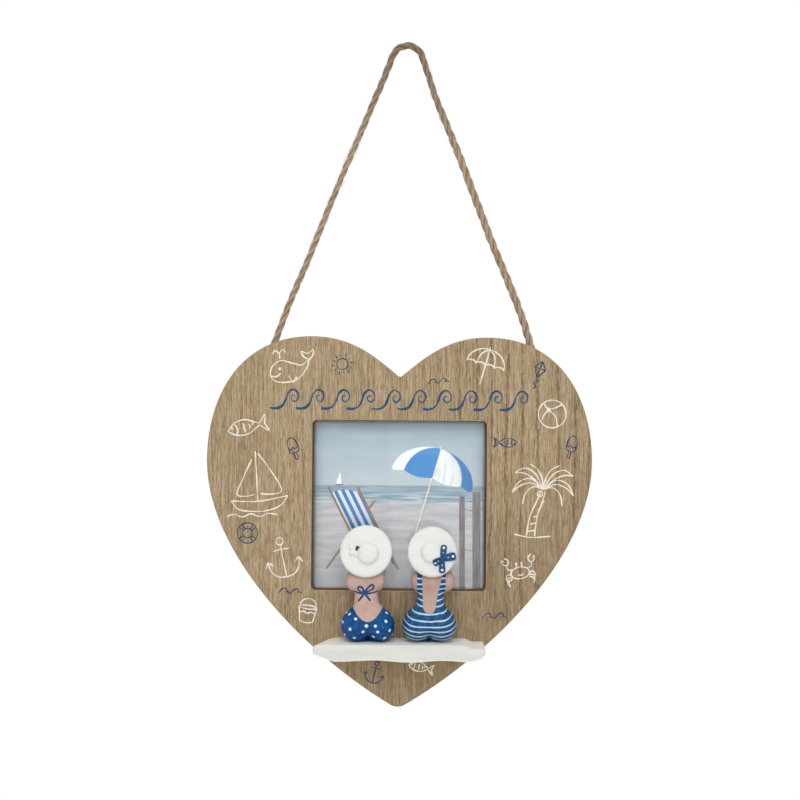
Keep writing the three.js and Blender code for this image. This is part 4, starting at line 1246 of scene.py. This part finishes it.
def hat_frame(figure):
    """Middle of the hat's front, the direction that the crown looks in, and the direction up its face."""
    origin = np.array([figure["hat_place"], HAT_FRONT, LEDGE_TOP + HAT_LEVEL])
    outward = np.array([0, -math.cos(HAT_TILT), math.sin(HAT_TILT)])
    upward = np.array([0, math.sin(HAT_TILT), math.cos(HAT_TILT)])
    return origin, outward, upward


def body_shape(figure, directions=112):
    """The body with its head, as rings from the ledge up."""
    origin, outward, _ = hat_frame(figure)
    head = origin - HEAD_SETBACK * outward
    aside, ahead, level = head - (figure["place"], BODY_MIDDLE, LEDGE_TOP)
    top = level + HEAD_RADIUS
    # The rings lie closer and closer over the last 7% of the height, where the head closes
    shares = np.concatenate([np.linspace(0, 0.93, 110), 1 - 0.07 * np.linspace(0.92, 0, 12)**2])
    turn = (np.arange(directions) + 0.5) / directions * 2 * math.pi
    height, angle = np.meshgrid(0.2 + (top - 0.25) * shares, turn, indexing="ij")
    cos, sin = np.cos(angle), np.sin(angle)
    body = np.where(height < level, body_reach(body_balls(figure), cos, sin, height), 0)
    around = np.maximum(HEAD_RADIUS**2 - (height - level)**2, 0)
    across = around - (aside * sin - ahead * cos)**2
    skull = np.where(across > 0, aside * cos + ahead * sin + np.sqrt(np.maximum(across, 0)), 0)
    reach = np.maximum(body, np.maximum(skull, LEAST_RADIUS))
    y = np.minimum(BODY_MIDDLE + reach * sin, BOARD_FRONT - SEAT_GAP)
    return Shape(np.stack([figure["place"] + reach * cos, y, LEDGE_TOP + height], axis=2))


def skin_colour(x, y, z):
    blush = noise(x * 0.16, y * 0.16, z * 0.16)
    speck = noise(x * 1.7, y * 1.7, z * 1.7, detail=3)
    return layers(
        rgb(198, 170, 157),
        (blush.rise(0.35, 0.7), rgb(189, 157, 145)),
        (speck.rise(0.5, 0.8) * 0.25, rgb(176, 142, 128)))


def suit_colour(x, y, z, dark, light):
    wear = noise(x * 0.5, y * 0.5, z * 0.5, detail=4, roughness=0.6)
    return mix(wear.rise(0.35, 0.75), dark, light)


def finish_figure(shader, colour, figure, x, y, z):
    """Painted shade in the crease between the hips, and brush marks."""
    brush = noise(x * 0.9, y * 0.9, z * 1.4, detail=3)
    # painted shade: darker low in the crease between the hips
    crease_shade = (x - figure["place"]).abs().rise(2.4, 0.3) * (z - LEDGE_TOP).rise(4.6, 2)
    colour = mix(crease_shade * 0.7, colour, rgb(6, 20, 40))
    finish_surface(shader, colour, brush * 0.15 + 0.4, brush, 0.08)


def dotted_figure_material():
    """Skin, and a blue suit below a curved edge."""
    material, shader, (x, y, z) = new_material("left_figure_paint")
    aside = x - LEFT_FIGURE["place"]
    rise = (aside * aside * (SUIT_RISE / SUIT_SPREAD**2)).least(SUIT_RISE + 1)
    wobble = noise(x * 0.6, y * 0.6, z * 0.3) * 0.5
    suit = (rise + wobble + LEDGE_TOP + SUIT_FOOT - z).rise(-0.12, 0.12)
    blue = suit_colour(x, y, z, rgb(6, 64, 118), rgb(30, 94, 156))
    finish_figure(shader, mix(suit, skin_colour(x, y, z), blue), LEFT_FIGURE, x, y, z)
    return material


def bare_skin(aside, y, height, wobble):
    """1 where the striped suit leaves the back, the arms and the neck bare."""
    above = (height - BACK_FOOT).most(0)
    left_edge = above * 0.04 + BACK_LEFT
    right_edge = above * 0.06 + above * above * 0.0072 + BACK_RIGHT
    share = (aside * -1 / left_edge).most(aside / right_edge)
    back = (height - BACK_FOOT - share * share * share * share * 2.6 + wobble * 0.4).rise(-0.2, 0.2)
    back = back * share.rise(1.04, 0.96) * y.rise(BODY_MIDDLE + 1, BODY_MIDDLE)
    arm = (aside - RIGHT_FIGURE["lean"] * 0.5).abs().rise(STRAP_OUTSIDE - 0.15, STRAP_OUTSIDE + 0.15)
    arm = arm * height.rise(ARMHOLE - 0.6, ARMHOLE + 0.6)
    return back.most(arm).most(height.rise(37.6, 38.2))


def striped_figure_material():
    """Skin, and a blue suit with white stripes."""
    material, shader, (x, y, z) = new_material("right_figure_paint")
    aside, height = x - RIGHT_FIGURE["place"], z - LEDGE_TOP
    wobble = noise(x * 0.25, y * 0.25, z * 0.25, detail=1)
    along = (height - y * STRIPE_DIP - aside * aside * STRIPE_CURVE + wobble * 0.5) / STRIPE_PITCH
    _, forward, upward = facing(material.node_tree)
    narrowing = (1 - upward / forward.abs().most(0.35) * STRIPE_DIP).most(0.35).least(1.3)
    half = narrowing * (STRIPE_WIDTH / STRIPE_PITCH / 2)
    stripe = (half - (along.math("FRACT") - 0.5).abs()).rise(-0.03, 0.03)
    white = mix(wobble.rise(0.3, 0.7), rgb(166, 198, 228), rgb(194, 216, 236))
    suit = mix(stripe, suit_colour(x, y, z, rgb(22, 68, 108), rgb(52, 98, 140)), white)
    skin = mix(0.25, skin_colour(x, y, z), rgb(160, 130, 120))
    finish_figure(shader, mix(bare_skin(aside, y, height, wobble), suit, skin), RIGHT_FIGURE, x, y, z)
    return material


def plain_paint(name, light, dark):
    """Brush paint on a small cast."""
    material, shader, (x, y, z) = new_material(name)
    tone = noise(x * 0.8, y * 0.8, z * 0.8, detail=3)
    finish_surface(shader, mix(tone.rise(0.35, 0.7), light, dark), tone * 0.15 + 0.42, tone, 0.05)
    return material


def add_dome(shape, middle, outward, radius, height, sink=0.15, sides=14):
    """A low round dome on a surface, closed below."""
    side = np.cross(outward, (0, 0, 1))
    side /= np.linalg.norm(side)
    other = np.cross(outward, side)
    rings = []
    for share, up in ((1, -sink), (1, 0), (0.85, 0.52), (0.6, 0.8), (0.3, 0.95), (0.04, 1)):
        level = middle + outward * (up * height if up > 0 else up)
        reach = radius * share
        rings.append([level + reach * (math.cos(a) * side + math.sin(a) * other) for a in circle(sides)])
    shape.add(rings)


def from_front(surface, x, z):
    """Place and direction of what a surface shows at x and z from the front, None where it shows nothing."""
    return surface.ray_cast(Vector((x, CAST_FRONT, z)), Vector((0, 1, 0)))[:2]


def add_suit_dots(shape, surface, figure):
    """White dots: the listed ones on the back, and others at a loose even spacing round the sides."""
    rolls = random.Random(7)
    spots = []

    def add_dot(spot, normal):
        spots.append(spot)
        add_dome(shape, np.array(spot), np.array(normal), DOT_RADIUS * rolls.uniform(0.85, 1.1), DOT_RISE)

    for aside, height in SUIT_DOTS:
        add_dot(*from_front(surface, figure["place"] + aside, LEDGE_TOP + height))
    for _ in range(DOT_TRIES):
        turn, height = rolls.uniform(0.8 * math.pi, 2.2 * math.pi), rolls.uniform(1.2, 16)
        cos, sin = math.cos(turn), math.sin(turn)
        start = (figure["place"] + CAST_ROUND * cos, BODY_MIDDLE + CAST_ROUND * sin, LEDGE_TOP + height)
        spot, normal, _, _ = surface.ray_cast(Vector(start), Vector((-cos, -sin, 0)))
        at_side = spot is not None and normal.y > -0.25 and abs(spot.x - figure["place"]) > HIP_WIDTH / 4
        if at_side and all((spot - other).length > DOT_SPACING for other in spots):
            add_dot(spot, normal)


def add_painted_string(shape, surface, points):
    """A raised line of paint that follows a surface, given as seen from the front."""
    hits = [from_front(surface, x, z) for x, z in smooth_path(points, STRING_STEP)]
    hits = [(np.array(spot), np.array(normal)) for spot, normal in hits if spot is not None]
    last = len(hits) - 1
    rings = []
    for i, (spot, normal) in enumerate(hits):
        ahead = hits[min(i + 1, last)][0] - hits[max(i - 1, 0)][0]
        end = min(1, (min(i, last - i) * STRING_STEP + 0.1) / (STRING_WIDTH / 2))
        half = STRING_WIDTH / 2 * quarter(end) * np.cross(normal, ahead / np.linalg.norm(ahead))
        foot = spot - STRING_SINK * normal
        rings.append([foot + half, spot + STRING_RISE * normal, foot - half, foot - STRING_SINK * normal])
    shape.add(rings)


def back_bow(place):
    """Strokes of the tied string on the left figure's back: x and z."""
    x, z = place - 1.7, LEDGE_TOP + 25.1
    string = [(x - 6.2, z + 0.8), (x - 3, z - 0.1), (x, z - 0.4), (x + 3.6, z), (x + 7.2, z + 0.9)]
    left = [(x, z), (x - 1.4, z + 2.9), (x - 2.9, z + 3.1), (x - 3.5, z + 2), (x - 2.2, z + 0.7), (x, z)]
    right = [(x, z), (x + 1.6, z + 2.6), (x + 3.4, z + 4.1), (x + 4.5, z + 3.8), (x + 4.2, z + 2.2), (x, z)]
    tails = [[(x, z), (x - 1.6, z - 2.2), (x - 3.4, z - 4.3)], [(x, z), (x + 1.5, z - 2), (x + 3, z - 4)]]
    return [string, left, right, *tails]


def make_figures():
    blue = plain_paint("figure_blue", rgb(42, 66, 106), rgb(56, 84, 122))
    white = plain_paint("dot_white", rgb(224, 236, 246), rgb(206, 224, 240))
    left, right = body_shape(LEFT_FIGURE), body_shape(RIGHT_FIGURE)
    place("left_body", left, dotted_figure_material(), "figure_paint", "left_figure", smooth_angle=60)
    place("right_body", right, striped_figure_material(), "figure_paint", "right_figure", smooth_angle=60)
    surface = BVHTree.FromPolygons([Vector(p) for p in left.points], left.faces)
    dots, string = Shape(), Shape()
    add_suit_dots(dots, surface, LEFT_FIGURE)
    for stroke in back_bow(LEFT_FIGURE["place"]):
        add_painted_string(string, surface, stroke)
    place("suit_dots", dots, white, "figure_paint")
    place("back_string", string, blue, "figure_paint")


make_figures()


# Hats

def on_hat(figure, across, up, height):
    """A point from places across and up the hat's face and above the crown's foot."""
    origin, outward, upward = hat_frame(figure)
    return origin + across * np.array([1, 0, 0]) + up * upward + height * outward


def hat_front(rim):
    """Radius and height of the hat's front from the crown's top to the rim."""
    foot = CROWN_RADIUS + CROWN_FOOT
    turns = [math.radians(a) for a in range(0, 80, 12)]
    flat = CROWN_FLATNESS
    front = [(CROWN_RADIUS * math.sin(a)**flat, CROWN_HEIGHT * math.cos(a)**flat) for a in turns]
    front += [(CROWN_RADIUS + CROWN_FOOT / 4, CROWN_FOOT_RISE), (foot, 0),
              ((foot + rim) / 2, -BRIM_FALL / 3),
              (rim - BRIM_THICKNESS / 2, BRIM_THICKNESS / 5 - BRIM_FALL),
              (rim, -BRIM_THICKNESS / 3 - BRIM_FALL)]
    return smooth_path(front, 0.45)


def hat_profile(rim):
    """Radius and height of the hat from the crown's top over the brim to the hollow for the head."""
    hollow = HEAD_RADIUS + HEAD_PLAY
    mouth = math.sqrt(hollow**2 - (HEAD_SETBACK - BRIM_THICKNESS)**2)
    under = [(rim - BRIM_THICKNESS / 2, -BRIM_THICKNESS - BRIM_FALL),
             ((rim + mouth) / 2, -BRIM_THICKNESS - BRIM_FALL / 2), (mouth, -BRIM_THICKNESS)]
    inside_turns = [math.asin(mouth / hollow) * (1 - i / 6) for i in range(1, 7)]
    cap = [(hollow * math.sin(a), hollow * math.cos(a) - HEAD_SETBACK) for a in inside_turns]
    return [*hat_front(rim), *smooth_path(under, 1), *cap]


def crown_shift(figure, radius):
    """How far the crown's middle lies across and up from the hat's, less and less towards the rim."""
    share = 1 - (radius - CROWN_RADIUS) / (figure["hat_height"] / 2 - CROWN_RADIUS)
    return np.array(figure["crown"]) * min(1, max(0, share))


def hat_level(figure, across, up):
    """Height of the hat's front above the crown's foot, at a place on its face."""
    stretch = figure["hat_height"] / figure["hat_width"]
    aside, above = crown_shift(figure, math.hypot(across * stretch, up))
    radius = math.hypot((across - aside) * stretch, up - above)
    front = hat_front(figure["hat_height"] / 2)
    return float(np.interp(radius, front[:, 0], front[:, 1]))


def make_hat(name, figure, paint, replaced, phase):
    rings = []
    rim = figure["hat_height"] / 2
    fronts = len(hat_front(rim))
    for i, (radius, height) in enumerate(hat_profile(rim)):
        radius = max(radius, 0.02)
        outer = max(0, radius / rim - 0.5) * 2
        aside, above = crown_shift(figure, radius) if i < fronts else (0, 0)
        ring = []
        for a in circle(HAT_SIDES):
            dip = outer**2 * BRIM_WAVE * (math.sin(2 * a + phase) + 0.5 * math.sin(3 * a + 2 * phase))
            across = radius * math.cos(a) * figure["hat_width"] / figure["hat_height"]
            ring.append(on_hat(figure, across + aside, radius * math.sin(a) + above, height + dip))
        rings.append(ring)
    place(name, Shape(rings), paint, "hat_white", replaced, smooth_angle=60)


def make_flower(white):
    """Five round petals and a dark eye."""
    rings = []
    for share, level in FLOWER_LEVELS:
        ring = []
        for a in circle(FLOWER_SIDES):
            petal = math.cos(5 * a)
            reach = (FLOWER_RADIUS - FLOWER_NOTCH / 2 * (1 - petal)) * share
            x, up = FLOWER_PLACE[0] + reach * math.cos(a), FLOWER_PLACE[1] + reach * math.sin(a)
            height = level
            if level > 0:
                height = PETAL_HEIGHT * level * (0.82 + 0.18 * petal * share)
                height = max(height, hat_level(LEFT_FIGURE, x, up) + 0.6 * level)
            ring.append(on_hat(LEFT_FIGURE, x, up, height))
        rings.append(ring)
    place("hat_flower", Shape(rings), white, "hat_white", "left_hat_flower", smooth_angle=60)
    eye = Shape()
    for across, up, radius in FLOWER_EYE:
        spot = on_hat(LEFT_FIGURE, FLOWER_PLACE[0] + across, FLOWER_PLACE[1] + up, EYE_LEVEL)
        add_dome(eye, spot, hat_frame(LEFT_FIGURE)[1], radius, EYE_HEIGHT)
    place("flower_eye", eye, plain_paint("eye_dark", rgb(52, 52, 56), rgb(84, 84, 88)), "bow_blue")


def blunt(value):
    """A sine or cosine pushed outward, so that an oval gets blunt ends."""
    return math.copysign(abs(value)**0.6, value)


def make_bow(white):
    """Two loops and two tails of ribbon about a knot, with white dots on each."""
    shape, dots = Shape(), Shape()
    outward = hat_frame(RIGHT_FIGURE)[1]
    for degrees, length, width in BOW_LOOPS:
        cos, sin = math.cos(math.radians(degrees)), math.sin(math.radians(degrees))
        rings = []
        for share, level in BOW_LEVELS:
            ring = []
            for a in circle(BOW_SIDES):
                along = length / 2 * (1 + share * blunt(math.cos(a)))
                aside = width / 2 * share * blunt(math.sin(a)) * (0.72 + 0.36 * along / length)
                x = BOW_PLACE[0] + along * cos - aside * sin
                up = BOW_PLACE[1] + along * sin + aside * cos
                lift = max(BOW_HEIGHT * level, hat_level(RIGHT_FIGURE, x, up) + 0.7 * level)
                ring.append(on_hat(RIGHT_FIGURE, x, up, lift if level > 0 else level))
            rings.append(ring)
        shape.add(rings)
        for share in BOW_DOTS:
            x, up = BOW_PLACE[0] + share * length * cos, BOW_PLACE[1] + share * length * sin
            lift = max(BOW_HEIGHT * 0.88, hat_level(RIGHT_FIGURE, x, up) + 0.62)
            spot = on_hat(RIGHT_FIGURE, x, up, lift)
            add_dome(dots, spot, outward, BOW_DOT_RADIUS * share, BOW_DOT_RISE)
    knot = on_hat(RIGHT_FIGURE, *BOW_PLACE, BOW_HEIGHT * 0.5)
    add_dome(shape, knot, outward, KNOT_RADIUS, KNOT_HEIGHT, KNOT_SINK, KNOT_SIDES)
    blue = plain_paint("bow_blue", rgb(30, 70, 110), rgb(46, 92, 136))
    place("hat_bow", shape, blue, "bow_blue", "right_hat_bow", smooth_angle=60)
    place("bow_dots", dots, white, "hat_white")


def make_hats():
    paint = white_paint("hat_paint", rgb(231, 231, 228), rgb(217, 217, 214), 0.45)
    make_hat("left_sun_hat", LEFT_FIGURE, paint, "left_hat", 0.6)
    make_hat("right_sun_hat", RIGHT_FIGURE, paint, "right_hat", 2.4)
    make_flower(plain_paint("petal_white", rgb(240, 240, 238), rgb(226, 226, 224)))
    make_bow(plain_paint("bow_dot_white", rgb(240, 241, 240), rgb(226, 228, 230)))


make_hats()


# Turn buttons and screws on the back

def zinc_material(name, light, dark, roughness):
    """Zinc plate: faint spangles, fine scratches and dull spots."""
    material, shader, (x, y, z) = new_material(name)
    spangle = noise(x * 0.9, y * 0.9, z * 0.9, distortion=1.5)
    scratch = noise(x * 0.6 + z * 0.4, y * 4, z * 9 - x * 6, detail=3)
    colour = mix(spangle.rise(0.35, 0.7), light, dark)
    finish_surface(shader, colour, scratch * 0.25 + roughness, scratch, 0.02)
    shader.inputs["Metallic"].default_value = 1
    return material


def button_outline(steps=20):
    """A turn button from its pivot along the first axis, turning left."""
    tangent = math.acos((BUTTON_EYE - BUTTON_TIP) / BUTTON_LENGTH)
    eye = [tangent + (2 * math.pi - 2 * tangent) * i / (2 * steps) for i in range(2 * steps + 1)]
    tip = [-tangent + 2 * tangent * i / steps for i in range(steps + 1)]
    points = [(BUTTON_EYE * math.cos(a), BUTTON_EYE * math.sin(a)) for a in eye]
    points += [(BUTTON_LENGTH + BUTTON_TIP * math.cos(a), BUTTON_TIP * math.sin(a)) for a in tip]
    return np.array(points)


def make_button(side, x, z, turn, material):
    def at(outline):
        cos, sin = math.cos(turn), math.sin(turn)
        return np.array([(x + a * cos + b * sin, z - a * sin + b * cos) for a, b in outline])

    hole = [(BUTTON_HOLE * math.cos(a), BUTTON_HOLE * math.sin(a)) for a in circle(METAL_SIDES)]
    outside = plate_side(at(button_outline()), BUTTON_TOP, BUTTON_UNDER, BUTTON_EASE)
    pierced = plate_side(at(hole), BUTTON_TOP, BUTTON_UNDER, BUTTON_EASE, sign=-1)
    mesh = pierced_plate("button_" + side, outside, pierced)
    finish_mesh(mesh, 30)
    sharpen_flat_faces(mesh)
    place("button_plate_" + side, mesh, material, "button_steel", "turn_button_" + side, "button_" + side)


def recess_tool(x, z, turn):
    """One arm of a cross recess, which narrows towards its bottom."""
    ahead = np.array([math.cos(turn), 0, math.sin(turn)])
    aside = np.array([-math.sin(turn), 0, math.cos(turn)])
    top = SCREW_HEAD_UNDER + SCREW_HEAD_HEIGHT
    corners = [(1, 1), (-1, 1), (-1, -1), (1, -1)]
    rings = []
    for level, length, width in RECESS:
        middle = np.array([x, top + level, z])
        rings.append([middle + a * length * ahead + b * width * aside for a, b in corners])
    return Shape(rings).mesh("recess")


def make_screw(side, x, z, material):
    """A round-headed screw with a cross recess."""
    edge = SCREW_HEAD_UNDER + SCREW_HEAD_RIM
    profile = [(LEAST_RADIUS, SCREW_END), (SCREW_RADIUS, SCREW_END + SCREW_POINT),
               (SCREW_RADIUS, SCREW_HEAD_UNDER), (SCREW_HEAD_RADIUS - SCREW_HEAD_BEVEL, SCREW_HEAD_UNDER),
               (SCREW_HEAD_RADIUS, edge)]
    for i in range(1, 9):
        a = math.pi / 2 * i / 8
        rise = (SCREW_HEAD_HEIGHT - SCREW_HEAD_RIM) * math.sin(a)
        profile.append((max(LEAST_RADIUS, SCREW_HEAD_RADIUS * math.cos(a)**0.8), edge + rise))
    angles = circle(METAL_SIDES)
    rings = [[(x + r * math.cos(a), y, z + r * math.sin(a)) for a in angles] for r, y in profile]
    screw = place("screw_" + side, Shape(rings), material, "screw_steel", "button_screw_" + side)
    cut(screw, [recess_tool(x - HANG_ASIDE, z, turn) for turn in (0.5, 0.5 + math.pi / 2)])
    finish_mesh(screw.data, 35)


def make_fasteners():
    plate = zinc_material("zinc_plate", rgb(196, 198, 200), rgb(170, 173, 176), 0.28)
    bright = zinc_material("zinc_screw", rgb(206, 207, 206), rgb(182, 184, 184), 0.2)
    spots = {"top": (0, BUTTON_ABOVE, math.pi / 2), "right": (BUTTON_ASIDE, 0, math.pi),
             "bottom": (0, -BUTTON_ABOVE, -math.pi / 2), "left": (-BUTTON_ASIDE, 0, 0)}
    for side, (x, up, turn) in spots.items():
        make_button(side, x, WINDOW_LEVEL + up, turn, plate)
        make_screw(side, x, WINDOW_LEVEL + up, bright)


make_fasteners()


# Light and floor

def make_lamp(name, spot, size, power):
    """A square lamp that is turned to the part."""
    data = bpy.data.lights.new(name, "AREA")
    data.size = size * MM
    data.energy = power
    lamp = bpy.data.objects.new(name, data)
    lamp.location = Vector(spot) * MM
    lamp.rotation_euler = (Vector(LAMP_AIM) - Vector(spot)).to_track_quat("-Z", "Y").to_euler()
    lamp.visible_glossy = name == MIRRORED_LAMP
    bpy.context.scene.collection.objects.link(lamp)


def seen_rays(tree):
    """1 for what the camera sees, itself or in gloss and glass."""
    return ray_is(tree, "Camera").most(ray_is(tree, "Glossy")).most(ray_is(tree, "Transmission"))


def make_world():
    """An even soft light, which is seen as white."""
    world = bpy.data.worlds.new("studio")
    world.use_nodes = True
    bpy.context.scene.world = world
    tree = world.node_tree
    background = tree.nodes["Background"]
    background.inputs["Color"].default_value = (1, 1, 1, 1)
    put(seen_rays(tree) * (1 - WORLD_LIGHT) + WORLD_LIGHT, background.inputs["Strength"])


def make_floor():
    """A pale disc, which fades into the white background towards its rim."""
    shape = Shape()
    for a in circle(FLOOR_SIDES):
        shape.points.append((FLOOR_RADIUS * math.cos(a), FLOOR_RADIUS * math.sin(a), FLOOR_LEVEL))
    shape.faces.append(tuple(range(FLOOR_SIDES)))
    floor = bpy.data.objects.new("floor", shape.mesh("floor"))
    bpy.context.scene.collection.objects.link(floor)
    material, shader, (x, y, _) = new_material("floor_white")
    tone = noise(x * 0.02, y * 0.02, 0, detail=3)
    put(mix(tone, rgb(240, 240, 239), rgb(246, 246, 245)), shader.inputs["Base Color"])
    shader.inputs["Roughness"].default_value = 0.8
    distance = (x * x + y * y).math("SQRT")
    make_clear(shader, seen_rays(material.node_tree) * distance.rise(FLOOR_FADE, FLOOR_RADIUS))
    floor.data.materials.append(material)


make_world()
make_floor()
for name, (spot, size, power) in LAMPS.items():
    make_lamp(name, spot, size, power)

bpy.context.scene.view_settings.view_transform = "Standard"
